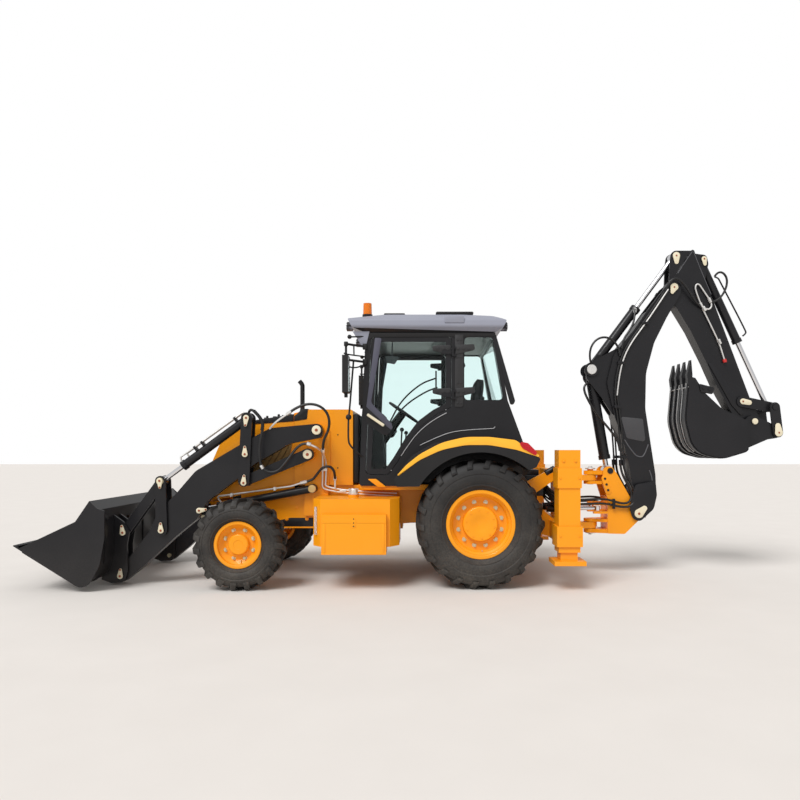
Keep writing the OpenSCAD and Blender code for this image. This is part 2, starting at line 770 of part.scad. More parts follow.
// Two plates beside each arm
module beside_arm() {
    for (y = [lever_in, lever_out - lever_t]) plate(y, y + lever_t) children();
}
module bellcranks() {
    both() {
        color(black)
            beside_arm() {
                polygon(bar(crank_top, 58, crank_bottom, 58));
            }
        color(zinc) {
            cross(crank_middle, pin_d, lever_in, lever_out + cap_t);
            cross(crank_top, pin_d, lever_in, lever_out + cap_t);
            cross(crank_bottom, pin_d, lever_out - 1, lever_out + cap_t);
        }
    }
}
module level_bars() {
    color(black)
        both()
            difference() {
                plate(level_in, level_out) polygon(bar(level_pivot, 62, crank_bottom, 52));
                cross(level_pivot, pin_d + 2 * run, level_in - 1, level_out + 1);
            }
}
lift_rod_d = 50;
module lift_barrels() { both() barrel(lift_base, lift_eye, cylinder_y, lift_d, 1040, lift_rod_d, lift_d, pin_d); }
module lift_rods() { both() rod(lift_base, lift_eye, cylinder_y, lift_rod_d, 900, 96, lift_d - 6); }
dump_rod_d = 50;
dump_eye_w = 54;
module dump_barrels() { both() barrel(crank_top, lever_top, arm_y, dump_d, 855, dump_rod_d, arm_w, pin_d); }
module dump_rods() { both() rod(crank_top, lever_top, arm_y, dump_rod_d, 900, 96, dump_eye_w); }
module lever_pins() {
    color(zinc) both() cross(lever_foot, pin_d, lever_in - cap_t, lever_out + cap_t);
}
link_t = 18;
link_in = arm_y - dump_eye_w / 2 - side_gap - link_t;
link_out = arm_y + dump_eye_w / 2 + side_gap + link_t;
module front_levers() {
    both() {
        color(black)
            difference() {
                beside_arm() polygon(bar(lever_top, 55, lever_foot, 60));
                for (p = [lever_foot, lever_top]) cross(p, pin_d + 2 * run, lever_in - 1, lever_out + 1);
            }
    }
}
// Pins at the levers' tops, which turn as the arms rise and so keep the links in line
module link_pins() {
    color(zinc)
        both() {
            cross(lever_top, pin_d, lever_in - cap_t, link_in + link_t);
            cross(lever_top, pin_d, link_out - link_t, lever_out + cap_t);
            cross(lever_top, pin_d + 24, lever_in - cap_t, lever_in - 1);
            cross(lever_top, pin_d + 24, lever_out + 1, lever_out + cap_t);
        }
}
module bucket_links() {
    color(black)
        both()
            difference() {
                for (y = [link_in, link_out - link_t])
                    plate(y, y + link_t) polygon(bar(lever_top, 48, bucket_top, 48));
                cross(lever_top, pin_d + 2 * run, lever_in, lever_out);
            }
}
module bucket_pins() {
    color(zinc) both() cross(bucket_foot, pin_d, lever_in - cap_t, lever_out + cap_t);
}
// Loading bucket: bent sheet, side plates, cutting edge, spill guard and ears
bucket_tip = [-4077, 452];
bucket_lip = [-3340, 905];
module bucket_section() {
    polygon(rounded([bucket_tip, [-3372, 4, 140], [-3268, 290, 200], [-3262, 815, 10], bucket_lip]));
}
// Ribs up the bucket's back
wear_w = 60;
wear_h = 10;
module loader_bucket() {
    half = bucket_w / 2;
    mouth = unit([bucket_lip[1] - bucket_tip[1], bucket_tip[0] - bucket_lip[0]]);
    color(black) {
        plate(-half, half)
            difference() {
                bucket_section();
                offset(delta = -bucket_t) bucket_section();
                translate(-4 * bucket_t * mouth) offset(delta = -bucket_t) bucket_section();
            }
        both() {
            plate(half - bucket_t, half)
                polygon(rounded([
                    [-4030, 440, 5], [-4000, 392, 5], [-3380, 6, 110], [-3240, 264, 200], [-3194, 520, 100],
                    [-3189, 809, 20], [-3262, 830, 5], bucket_lip, [-3480, 700, 5]]));
            difference() {
                beside_arm()
                    difference() {
                        polygon(rounded([
                            [-3270, 740, 10], [-3160, 660, 60], [-3100, 560, 40], [-3125, 420, 80],
                            [-3115, 150, 60], [-3150, 32, 50], [-3290, 24, 10], [-3390, 60, 10]]));
                        offset(delta = -bucket_t / 2) bucket_section();
                    }
                cross(bucket_foot, pin_d + 2 * run, lever_in - 1, lever_out + 1);
            }
            cross(bucket_top, pin_d, lever_out - 1, lever_out + cap_t);
        }
        plate(-half, half)
            polygon([[-4090, 468], [-4095, 460], [-3900, 338], [-3892, 350]]);
        for (y = [-960, -400, 0, 400, 960])
            translate([0, y, 0])
                plate(-wear_w / 2, wear_w / 2)
                    difference() {
                        offset(delta = wear_h) bucket_section();
                        offset(delta = -bucket_t / 2) bucket_section();
                        translate([-4200, 120]) square([930, 1000]);
                        translate([-3300, 700]) square([300, 300]);
                    }
    }
}

// Rear frame with the stabilisers' fixed tubes
stab_x = 1420;
leg_w = 171;
leg_top = 1330;
pad_z = [261, 305];
rail_face_x = 1500;
carriage_z = [445, 1190];
tie_z = [1080, 1190];
module square_tube(w, z0, z1) {
    translate([stab_x - w / 2, stab_y - stab_tube / 2 - w / 2, z0]) cube([w, w, z1 - z0]);
}
module rear_frame() {
    color(orange) {
        both()
            difference() {
                union() {
                    square_tube(stab_tube, 387, 1410);
                    square_tube(stab_tube + 24, 1030, 1229);
                    square_tube(stab_tube + 40, 445, 648);
                }
                square_tube(leg_w + 2 * run, 300, 1380);
            }
        beam_l = stab_y - stab_tube + 1;
        translate([tail_x - 50, -beam_l, 461]) cube([rail_face_x - tail_x + 50, 2 * beam_l, 189]);
        translate([tail_x, -beam_l, tie_z[0]]) cube([rail_face_x - tail_x, 2 * beam_l, tie_z[1] - tie_z[0]]);
    }
}
module stabiliser(side) {
    color(orange)
        scale([1, side, 1]) {
            square_tube(leg_w, pad_z[1] - 1, leg_top);
            translate([stab_x - stab_pad / 2, stab_y - stab_tube / 2 - stab_pad / 2, pad_z[0]])
                cube([stab_pad, stab_pad, pad_z[1] - pad_z[0]]);
        }
}

// Carriage that slides across the frame, with the two lugs of the swing pin
swing_x = 1900;
swing_pin_d = 70;
carriage_w = 620;
lug_w = 150;
lug_neck_x = 1740;
upper_lug_z = [1060, 1124];
lower_lug_z = [512, 584];
swing_y = 134;
swing_eye_x = 1940;
swing_z = 749;
swing_barrel_x = [1370, 1725];
swing_rod_l = 400;
swing_eye_d = 72;
swing_d = 90;
swing_rod_d = 45;
module carriage() {
    color(orange) {
        difference() {
            union() {
                translate([rail_face_x + 0.5, -carriage_w / 2, carriage_z[0] - 20]) cube([50, carriage_w, carriage_z[1] - carriage_z[0] + 40]);
                for (z = [upper_lug_z, lower_lug_z])
                    translate([0, 0, z[0]])
                        linear_extrude(z[1] - z[0])
                            polygon(concat(
                                [[rail_face_x + 50, -carriage_w / 2], [lug_neck_x, -lug_w / 2]],
                                arc([swing_x, 0], lug_w / 2, -90, 90),
                                [[lug_neck_x, lug_w / 2], [rail_face_x + 50, carriage_w / 2]]));
            }
            for (y = [-swing_y, swing_y])
                translate([rail_face_x, y, swing_z]) rotate([0, 90, 0]) cylinder(d = swing_d, h = 120, center = true);
        }
        translate([swing_x, 0, upper_lug_z[0] - 45]) cylinder(d = swing_pin_d, h = upper_lug_z[1] - upper_lug_z[0] + 110);
        translate([swing_x, 0, lower_lug_z[0] - 45]) cylinder(d = swing_pin_d, h = lower_lug_z[1] - lower_lug_z[0] + 80);
    }
}
// Swing cylinders, held by the carriage, with a rod to each side of the kingpost
module swing_barrels() {
    color(black)
        for (y = [-swing_y, swing_y])
            difference() {
                translate([swing_barrel_x[0], y, swing_z])
                    rotate([0, 90, 0]) cylinder(d = swing_d - 2 * fit, h = swing_barrel_x[1] - swing_barrel_x[0]);
                translate([swing_barrel_x[0] + 15, y, swing_z])
                    rotate([0, 90, 0]) cylinder(d = swing_rod_d + 2 * run, h = 500);
            }
}
module swing_rod(side) {
    translate([0, side * swing_y, swing_z]) {
        color(bright) translate([swing_eye_x - swing_rod_l, 0, 0]) rotate([0, 90, 0]) cylinder(d = swing_rod_d, h = swing_rod_l);
        color(black) translate([swing_eye_x, 0, -25]) cylinder(d = swing_eye_d, h = 50);
    }
}

// Digging arm. Pins are [x, z] as the arm stands in rest.
boom_foot = [2425, 715];
boom_lug = [1892, 2330];
fork_top = [2090, 1174];
boom_tip = [2815, 3254];
dipper_lug = [2858, 3630];
digger_base = [3171, 3586];
digger_pivot = [3730, 1735];
rocker_pivot = [3605, 1962];
rocker_end = [3950, 1895];
digger_ear = [3985, 1608];
fork_t = 28;
eye_slot = 136;
post_in = boom_w / 2 + side_gap;
module kingpost() {
    color(orange) {
        difference() {
            both()
                difference() {
                    plate(post_in, post_in + fork_t)
                        polygon(rounded([
                            [2010, 1194, 50], [2005, 1026, 40], [2060, 854, 60], [2060, 462, 10], [2255, 457, 40],
                            [2400, 600, 60], [2515, 690, 80], [2470, 810, 60], [2342, 824, 60], [2160, 1150, 60],
                            [2090, 1245, 60]]));
                    cross(boom_foot, digger_pin_d + 2 * run, 0, 300);
                }
            translate([swing_x, 0, 0]) cylinder(d = lug_w + 40, h = 2000);
        }
        translate([2060, -post_in - 1, 462]) cube([30, 2 * post_in + 2, 420]);
        for (z = [[upper_lug_z[1] + side_gap, 44], [upper_lug_z[0] - side_gap - 34, 34],
                [lower_lug_z[1] + side_gap, 34], [lower_lug_z[0] - side_gap - 44, 44]])
            difference() {
                translate([0, 0, z[0]])
                    linear_extrude(z[1])
                        polygon(concat(arc([swing_x, 0], lug_w / 2, 90, 270),
                            [[2100, -post_in - fork_t], [2100, post_in + fork_t]]));
                translate([swing_x, 0, z[0] - 1]) cylinder(d = swing_pin_d + 2 * run, h = z[1] + 2);
                translate([swing_x + lug_w / 2 + 10, -eye_slot / 2, 1100]) cube([400, eye_slot, 200]);
            }
        for (z = [swing_z - 60, swing_z + 35])
            both()
                translate([0, 0, z])
                    linear_extrude(25)
                        polygon([[2100, post_in + 1], [2062, 90], [swing_eye_x - 40, swing_y - 20],
                            [swing_eye_x - 40, swing_y + 30], [swing_eye_x + 20, swing_y + 44], [2180, post_in + 1]]);
    }
    color(zinc) cross(boom_foot, digger_pin_d, -post_in - fork_t - cap_t, post_in + fork_t + cap_t);
}
module boom_core() {
    polygon(rounded([
        [2348, 640, 0], [2500, 640, 0], [2622, 896, 80], [2614, 1127, 200], [2556, 1504, 300], [2498, 1880, 400],
        [2506, 2285, 400], [2599, 2633, 300], [2744, 2923, 0], [2525, 2996, 0], [2365, 2774, 300],
        [2140, 2500, 200], [2060, 2180, 200], [2149, 1787, 300], [2244, 1515, 300], [2316, 1230, 200],
        [2348, 1006, 200], [2371, 831, 100]]));
}
module boom() {
    half = boom_w / 2;
    color(black) {
        difference() {
            union() {
                difference() {
                    plate(-half, half) boom_core();
                    plate(box_t - half, half - box_t) offset(delta = -box_t) boom_core();
                }
                both() {
                    plate(half - 25, half)
                        polygon(rounded([
                            [2520, 3000, 0], [2365, 2774, 0], [2599, 2633, 0], [2744, 2923, 100], [2900, 3190, 60],
                            [2915, 3300, 60], [2820, 3350, 80], [2735, 3280, 60]]));
                    plate(66, 91)
                        polygon(rounded([
                            [2210, 1787, 0], [2149, 1787, 100], [2006, 2009, 100], [1838, 2225, 60],
                            [1820, 2380, 80], [1902, 2425, 60], [2200, 2583, 0], [2200, 2200, 0]]));
                }
                cross(boom_foot, 170, -half, half);
            }
            cross(boom_foot, digger_pin_d + 2 * run, -half - 1, half + 1);
        }
    }
    color(bright) {
        cross(boom_lug, digger_pin_d, -91 - cap_t, 91 + cap_t);
        cross(boom_tip, digger_pin_d, -half - cap_t, half + cap_t);
    }
}
boom_rod_d = 60;
module boom_barrel() { barrel(boom_lug, fork_top, 0, digger_cyl_d, 1040, boom_rod_d, 60, digger_pin_d); }
module boom_rod() { rod(boom_lug, fork_top, 0, boom_rod_d, 1010, 116, 110); }
dipper_cyl_d = 104;
module dipper_barrel() {
    color(black)
        difference() {
            union() {
                strut(boom_lug, dipper_lug, 0, dipper_cyl_d, 120, 900);
                strut(boom_lug, dipper_lug, 0, dipper_cyl_d + 14, 900 - cap_l, 900);
                both()
                    plate(34, 60) polygon(bar(boom_lug, 46, along(boom_lug, dipper_lug, 160), 46));
            }
            cross(boom_lug, digger_pin_d + 2 * run, -70, 70);
            strut(boom_lug, dipper_lug, 0, boom_rod_d + 2 * run, 160, 901);
        }
}
module dipper_rod() { rod(boom_lug, dipper_lug, 0, boom_rod_d, 800, 104, 100); }
module dipper_core() {
    polygon(rounded([
        [3052, 3730, 20], [2935, 3500, 150], [2780, 3330, 60], [2720, 3180, 100], [2833, 3090, 80], [3024, 2777, 400], [3200, 2425, 400],
        [3328, 2138, 400], [3504, 1819, 100], [3640, 1690, 60], [3790, 1690, 60], [3810, 1790, 60],
        [3700, 2012, 100]]));
}
module dipper() {
    half = dipper_w / 2;
    color(black)
        difference() {
            union() {
                difference() {
                    plate(-half, half) dipper_core();
                    plate(box_t - half, half - box_t) offset(delta = -box_t) dipper_core();
                }
                for (p = [boom_tip, digger_pivot, rocker_pivot]) cross(p, 120, -half, half);
                both() {
                    plate(64, half)
                        polygon(rounded([
                            [2960, 3590, 0], [2780, 3300, 0], [2790, 3560, 60], [2810, 3690, 60],
                            [3030, 3690, 0]]));
                    plate(64, half)
                        polygon(rounded([
                            [2990, 3670, 0], [3120, 3650, 60], [3208, 3640, 50], [3230, 3540, 50], [3180, 3300, 0],
                            [3100, 3300, 0]]));
                }
            }
            for (p = [boom_tip, digger_pivot]) cross(p, digger_pin_d + 2 * run, -half - 1, half + 1);
        }
    color(zinc) {
        cross(digger_base, digger_pin_d, -half - cap_t, half + cap_t);
        cross(rocker_pivot, digger_pin_d, -half - 27, half + 27);
    }
}
digger_rod_d = 55;
digger_barrel_d = 96;
module digger_barrel() { barrel(digger_base, rocker_end, 0, digger_barrel_d, 1033, digger_rod_d, 110, digger_pin_d); }
module digger_rod() { rod(digger_base, rocker_end, 0, digger_rod_d, 900, 96, 90); }
// Rocker plates beside the dipper, which the digger cylinder pushes
rocker_t = 22;
rocker_in = dipper_w / 2 + side_gap;
ear_y = rocker_in + rocker_t + side_gap;
link_y = ear_y + rocker_t + side_gap;
module rocker() {
    color(black)
        both()
            difference() {
                plate(rocker_in, rocker_in + rocker_t) polygon(bar(rocker_pivot, 62, rocker_end, 56));
                cross(rocker_pivot, digger_pin_d + 2 * run, 0, 300);
            }
    color(zinc) both() cross(rocker_end, digger_pin_d, 55, link_y + rocker_t + cap_t);
}
module digger_link() {
    color(black)
        both()
            difference() {
                plate(link_y, link_y + rocker_t) polygon(bar(rocker_end, 56, digger_ear, 56));
                cross(rocker_end, digger_pin_d + 2 * run, 0, 300);
            }
    color(zinc) both() cross(digger_ear, digger_pin_d, link_y + rocker_t - 1, link_y + rocker_t + cap_t);
}

// Digging bucket: curved back, side plates, ears and teeth
digger_t = 20;
tooth_w = 60;
teeth = 4;
digger_lip = [2944, 2232];
module digger_section() {
    polygon(rounded([
        digger_lip, [2900, 1750, 400], [2985, 1400, 250], [3300, 1318, 300], [3605, 1410, 60], [3572, 1694, 0]]));
}
// Ribs that run round the bucket's back, into its teeth
rib_w = 30;
rib_h = 16;
module digger_bucket() {
    half = digger_w / 2;
    color(black) {
        plate(-half, half)
            difference() {
                digger_section();
                offset(delta = -digger_t) digger_section();
                translate([60, 76]) offset(delta = -digger_t) digger_section();
            }
        both() {
            plate(half - 16, half)
                polygon(rounded([
                    digger_lip, [3004, 2214, 10], [3110, 2050, 200], [3300, 1870, 300], [3580, 1740, 10],
                    [3606, 1411, 60], [3300, 1318, 300], [2985, 1400, 250], [2900, 1750, 400]]));
            difference() {
                plate(ear_y, ear_y + rocker_t)
                    polygon(rounded([
                        [3560, 1500, 0], [3572, 1700, 0], [3660, 1790, 60], [3730, 1808, 60], [3800, 1770, 60],
                        [4030, 1660, 55], [4010, 1550, 50], [3877, 1530, 60], [3605, 1411, 10]]));
            }
        }
        for (i = [0:teeth - 1])
            translate([0, -half + tooth_w / 2 + i * (digger_w - tooth_w) / (teeth - 1), 0]) {
                plate(-tooth_w / 2, tooth_w / 2)
                    polygon([[2926, 2120], [2966, 2120], [2972, 2250], [2958, 2414], [2950, 2414], [2912, 2250]]);
                plate(-rib_w / 2, rib_w / 2)
                    difference() {
                        offset(delta = rib_h) digger_section();
                        offset(delta = -digger_t / 2) digger_section();
                        translate([30, 38]) offset(delta = rib_h) digger_section();
                    }
            }
    }
    color(bright) cross(digger_pivot, digger_pin_d, -ear_y - rocker_t - cap_t, ear_y + rocker_t + cap_t);
}
module axles() {
    front_axle();
    rear_axle();
}

chassis();
engine();
hood();
cowl();
axles();
knuckle(-1);  // knuckle_left
knuckle(1);  // knuckle_right
front_tyre(-1);  // tyre_front_left
front_tyre(1);  // tyre_front_right
rear_tyre(-1);  // tyre_rear_left
rear_tyre(1);  // tyre_rear_right
front_rim(-1);  // rim_front_left
front_rim(1);  // rim_front_right
rear_rim(-1);  // rim_rear_left
rear_rim(1);  // rim_rear_right
tanks();
toolbox_lid();
cab_frame();
cab_roof();
cab_glass();
door(-1);  // door_left
door_glass(-1);  // door_left_glass
door(1);  // door_right
door_glass(1);  // door_right_glass
fenders();
seat();
controls();
mirrors();
lamps();
loader_arms();
bellcranks();
level_bars();
lift_barrels();
lift_rods();
dump_barrels();
dump_rods();
lever_pins();
front_levers();
link_pins();
bucket_links();
bucket_pins();
loader_bucket();
stabiliser(-1);  // stabiliser_left
stabiliser(1);  // stabiliser_right
carriage();
kingpost();
swing_barrels();
swing_rod(-1);  // swing_rod_left
swing_rod(1);  // swing_rod_right
boom();
boom_barrel();
boom_rod();
dipper();
dipper_barrel();
dipper_rod();
digger_barrel();
digger_rod();
rocker();
digger_link();
digger_bucket();
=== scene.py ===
# %% [markdown]
# # Dressing a backhoe loader
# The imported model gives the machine's solids in metres: X runs along it with the loading bucket
# at -X, -Y is its left side, and Z is up from the ground. This lesson adds what the solids leave
# out, such as tyre treads, hoses, lock plates, seals and the inside of the cab, and it gives each
# surface a finish made of nodes.

# %% Load the frame
import json
import math

import bmesh
import bpy
from mathutils import Matrix, Vector
from mathutils.bvhtree import BVHTree


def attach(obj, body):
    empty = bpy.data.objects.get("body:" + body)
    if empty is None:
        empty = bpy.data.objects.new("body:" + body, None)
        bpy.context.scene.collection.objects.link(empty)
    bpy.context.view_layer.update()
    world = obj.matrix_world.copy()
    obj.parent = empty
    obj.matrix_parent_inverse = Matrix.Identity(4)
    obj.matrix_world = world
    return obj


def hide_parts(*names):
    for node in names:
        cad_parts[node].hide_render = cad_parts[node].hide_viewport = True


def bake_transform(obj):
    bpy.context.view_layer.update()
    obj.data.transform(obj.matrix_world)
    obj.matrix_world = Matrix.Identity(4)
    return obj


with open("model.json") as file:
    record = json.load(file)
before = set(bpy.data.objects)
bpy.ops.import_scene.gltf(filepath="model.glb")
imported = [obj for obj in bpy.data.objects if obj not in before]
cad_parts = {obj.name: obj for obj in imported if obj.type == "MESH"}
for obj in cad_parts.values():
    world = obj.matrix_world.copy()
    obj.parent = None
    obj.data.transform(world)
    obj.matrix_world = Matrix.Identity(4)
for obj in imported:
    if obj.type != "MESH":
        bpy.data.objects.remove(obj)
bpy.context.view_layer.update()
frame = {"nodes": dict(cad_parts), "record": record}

# %% [markdown]
# The camera stands 7.9 m from the machine's middle plane, level, 1.41 m above the ground. Its
# optical axis doesn't pass through the middle of the picture, so a small shift frames the machine
# as the photograph does, and no upright line leans.

# %% Camera
PICTURE_SIZE = 800
AXIS_PIXEL = (419, 450)
FOCAL_PIXELS = 683
SENSOR = 36.0
CAMERA_PLACE = (-0.08, -7.9, 1.41)
FAR_ENOUGH = 300
camera_data = bpy.data.cameras.new("camera")
camera_data.sensor_width = SENSOR
camera_data.lens = SENSOR * FOCAL_PIXELS / PICTURE_SIZE
camera_data.shift_x = (PICTURE_SIZE / 2 - AXIS_PIXEL[0]) / PICTURE_SIZE
camera_data.shift_y = (AXIS_PIXEL[1] - PICTURE_SIZE / 2) / PICTURE_SIZE
camera_data.clip_end = FAR_ENOUGH
camera = bpy.data.objects.new("camera", camera_data)
camera.location = CAMERA_PLACE
camera.rotation_euler = (math.radians(90), 0, 0)
bpy.context.scene.collection.objects.link(camera)
bpy.context.scene.camera = camera
bpy.context.scene.view_settings.view_transform = "Standard"
print("camera at", tuple(camera.location), "with a lens of", round(camera_data.lens, 1), "mm")

# %% [markdown]
# A finish is a Principled shader with a few patterns in front of it. The patterns repeat from
# finish to finish, so each is a node group that is built once: one for the dirt and fading of a
# surface, one for a fine grain. A small helper adds nodes and links, which keeps the groups short.


# %% Helpers for nodes
def add_node(tree, kind, **settings):
    node = tree.nodes.new(kind)
    for key, value in settings.items():
        setattr(node, key, value)
    return node


def new_group(name, inputs, outputs):
    group = bpy.data.node_groups.new(name, "ShaderNodeTree")
    for label, kind, value in inputs:
        socket = group.interface.new_socket(label, in_out="INPUT", socket_type=kind)
        socket.default_value = value
    for label, kind in outputs:
        group.interface.new_socket(label, in_out="OUTPUT", socket_type=kind)
    return group, add_node(group, "NodeGroupInput"), add_node(group, "NodeGroupOutput")


def math_node(tree, operation, first, second, clamp=False):
    node = add_node(tree, "ShaderNodeMath", operation=operation, use_clamp=clamp)
    for socket, value in zip(node.inputs, (first, second)):
        if isinstance(value, (int, float)):
            socket.default_value = value
        else:
            tree.links.new(value, socket)
    return node.outputs[0]


def mix_colour(tree, factor, first, second):
    node = add_node(tree, "ShaderNodeMix", data_type="RGBA")
    for socket, value in ((node.inputs[0], factor), (node.inputs[6], first), (node.inputs[7], second)):
        if isinstance(value, (int, float, tuple)):
            socket.default_value = value
        else:
            tree.links.new(value, socket)
    return node.outputs[2]


# %% [markdown]
# Paint on a machine that stands outdoors isn't one colour. It is a little faded in broad patches,
# and dust settles on it, most near the ground. The group reads Object coordinates, so the patches
# stay on a piece when it moves, and it gives a colour, a roughness and a height.


# %% Weathering group
BARE = (0.8, 0.8, 0.8, 1)
DUST_TONE = (0.42, 0.36, 0.29, 1)
SPECKLE_SCALE = 60


def build_weathering():
    group, entry, leave = new_group(
        "weathering",
        [("Colour", "NodeSocketColor", BARE), ("Faded", "NodeSocketColor", BARE),
         ("Dust", "NodeSocketColor", DUST_TONE), ("Dust Amount", "NodeSocketFloat", 0.2),
         ("Dust Height", "NodeSocketFloat", 0.5), ("Roughness", "NodeSocketFloat", 0.4),
         ("Patch Scale", "NodeSocketFloat", 2.0)],
        [("Colour", "NodeSocketColor"), ("Roughness", "NodeSocketFloat"), ("Height", "NodeSocketFloat")])
    links = group.links
    place = add_node(group, "ShaderNodeTexCoord")
    patches = add_node(group, "ShaderNodeTexNoise")
    patches.inputs["Detail"].default_value = 4
    fine = add_node(group, "ShaderNodeTexNoise")
    fine.inputs["Scale"].default_value = SPECKLE_SCALE
    fine.inputs["Detail"].default_value = 3
    links.new(place.outputs["Object"], patches.inputs["Vector"])
    links.new(place.outputs["Object"], fine.inputs["Vector"])
    links.new(entry.outputs["Patch Scale"], patches.inputs["Scale"])
    split = add_node(group, "ShaderNodeSeparateXYZ")
    links.new(place.outputs["Object"], split.inputs[0])
    low = math_node(group, "DIVIDE", split.outputs[2], entry.outputs["Dust Height"])
    low = math_node(group, "SUBTRACT", 1.0, low, clamp=True)
    speckle = math_node(group, "MULTIPLY", patches.outputs[0], fine.outputs[0])
    dust = math_node(group, "ADD", math_node(group, "MULTIPLY", low, 1.2), 0.25)
    dust = math_node(group, "MULTIPLY", dust, math_node(group, "MULTIPLY", speckle, 3.0))
    dust = math_node(group, "MULTIPLY", dust, entry.outputs["Dust Amount"], clamp=True)
    fade = math_node(group, "MULTIPLY", math_node(group, "SUBTRACT", patches.outputs[0], 0.35), 1.6,
                     clamp=True)
    colour = mix_colour(group, fade, entry.outputs["Colour"], entry.outputs["Faded"])
    colour = mix_colour(group, dust, colour, entry.outputs["Dust"])
    links.new(colour, leave.inputs["Colour"])
    rough = math_node(group, "ADD", entry.outputs["Roughness"], math_node(group, "MULTIPLY", dust, 0.5))
    rough = math_node(group, "ADD", rough, math_node(group, "MULTIPLY", fine.outputs[0], 0.08), clamp=True)
    links.new(rough, leave.inputs["Roughness"])
    links.new(fine.outputs[0], leave.inputs["Height"])
    return group


WEATHERING = build_weathering()
print("weathering group of", len(WEATHERING.nodes), "nodes")


# %% [markdown]
# A painted finish is that group, a Principled shader and a weak Bump. Every opaque finish of the
# machine has this form with its own values, so one function makes them all. Metal sets its own
# metallic value, and glossy paint gets a clear coat.


# %% Opaque finishes
def finish(name, colour, faded, roughness, dust=0.2, dust_height=0.6, patch=2.0, metallic=0.0, coat=0.0,
           bump=0.05, grain=0.0008, shine=0.5):
    material = bpy.data.materials.new(name)
    material.use_nodes = True
    tree = material.node_tree
    shader = tree.nodes["Principled BSDF"]
    weather = add_node(tree, "ShaderNodeGroup", node_tree=WEATHERING)
    for key, value in (("Colour", colour), ("Faded", faded), ("Dust Amount", dust),
                       ("Dust Height", dust_height),
                       ("Roughness", roughness), ("Patch Scale", patch)):
        weather.inputs[key].default_value = value
    tree.links.new(weather.outputs["Colour"], shader.inputs["Base Color"])
    tree.links.new(weather.outputs["Roughness"], shader.inputs["Roughness"])
    relief = add_node(tree, "ShaderNodeBump")
    relief.inputs["Strength"].default_value = bump
    relief.inputs["Distance"].default_value = grain
    tree.links.new(weather.outputs["Height"], relief.inputs["Height"])
    tree.links.new(relief.outputs[0], shader.inputs["Normal"])
    shader.inputs["Metallic"].default_value = metallic
    shader.inputs["Coat Weight"].default_value = coat
    shader.inputs["Specular IOR Level"].default_value = shine
    return material


# %% [markdown]
# The machine has about a dozen real materials: two paints, rubber, moulded plastic, bare and plated
# metal. Each gets its own values here, read from the photograph. They are set once, so a change of
# a paint shows on every piece that wears it.

# %% Paints, rubber and metals
AMBER = (0.93, 0.33, 0.002, 1)
ORANGE = finish("orange_paint", AMBER, (0.94, 0.36, 0.004, 1), 0.34, dust=0.04, coat=0.12, bump=0.15,
                shine=0.3)
BLACK = finish("black_paint", (0.007, 0.007, 0.009, 1), (0.012, 0.012, 0.015, 1), 0.34, dust=0.03, coat=0.1,
               bump=0.2,
               shine=0.3)
ROOF = finish("roof_shell", (0.27, 0.28, 0.34, 1), (0.31, 0.32, 0.38, 1), 0.38, dust=0.03, coat=0.1,
              shine=0.3)
RUBBER = finish("tyre_rubber", (0.009, 0.009, 0.01, 1), (0.015, 0.015, 0.016, 1), 0.55, dust=0.09,
                dust_height=1.2,
                patch=5, bump=0.5, grain=0.002, shine=0.35)
TRIM = finish("moulded_trim", (0.01, 0.01, 0.011, 1), (0.016, 0.016, 0.018, 1), 0.5, dust=0.04, bump=0.5,
              shine=0.3)
HOSE = finish("hose_rubber", (0.007, 0.007, 0.008, 1), (0.012, 0.012, 0.013, 1), 0.38, dust=0.03, patch=9,
              bump=0.4,
              shine=0.45)
CREAM = finish("cream_plate", (0.78, 0.7, 0.5, 1), (0.82, 0.76, 0.6, 1), 0.4, dust=0.04, patch=14,
               shine=0.4)
BRASS = finish("brass_cap", (0.62, 0.42, 0.16, 1), (0.72, 0.54, 0.28, 1), 0.35, dust=0.05, patch=14,
               metallic=0.6)
RUST = finish("rust_red", (0.3, 0.06, 0.02, 1), (0.38, 0.1, 0.04, 1), 0.6, dust=0.0)
CHROME = finish("polished_rod", (0.78, 0.78, 0.8, 1), (0.7, 0.7, 0.72, 1), 0.14, dust=0.03, metallic=1.0,
                bump=0.02)
STEEL = finish("plated_steel", (0.8, 0.79, 0.77, 1), (0.68, 0.67, 0.65, 1), 0.36, dust=0.04, patch=8,
               metallic=0.7)
ZINC = finish("zinc_plate", (0.66, 0.6, 0.4, 1), (0.72, 0.68, 0.52, 1), 0.36, dust=0.08, patch=12,
              metallic=0.85)
WORN = finish("worn_edge", (0.13, 0.12, 0.115, 1), (0.25, 0.23, 0.21, 1), 0.42, dust=0.25, patch=6,
              metallic=0.8,
              bump=0.5)
CABIN = finish("cabin_lining", (0.045, 0.046, 0.05, 1), (0.06, 0.06, 0.065, 1), 0.7, dust=0.0, bump=0.4)
SILVER_LINE = finish("silver_line", (0.55, 0.55, 0.56, 1), (0.6, 0.6, 0.61, 1), 0.3, dust=0.0)


# %% [markdown]
# Glass passes light, and a pane here is thin and slightly green. Lamps and the beacon are coloured
# plastic that also passes some light. These finishes keep a plain transmission value.


# %% Clear finishes
def clear_finish(name, colour, roughness, transmission, ior=1.45):
    material = bpy.data.materials.new(name)
    material.use_nodes = True
    shader = material.node_tree.nodes["Principled BSDF"]
    shader.inputs["Base Color"].default_value = colour
    shader.inputs["Roughness"].default_value = roughness
    shader.inputs["Transmission Weight"].default_value = transmission
    shader.inputs["IOR"].default_value = ior
    return material


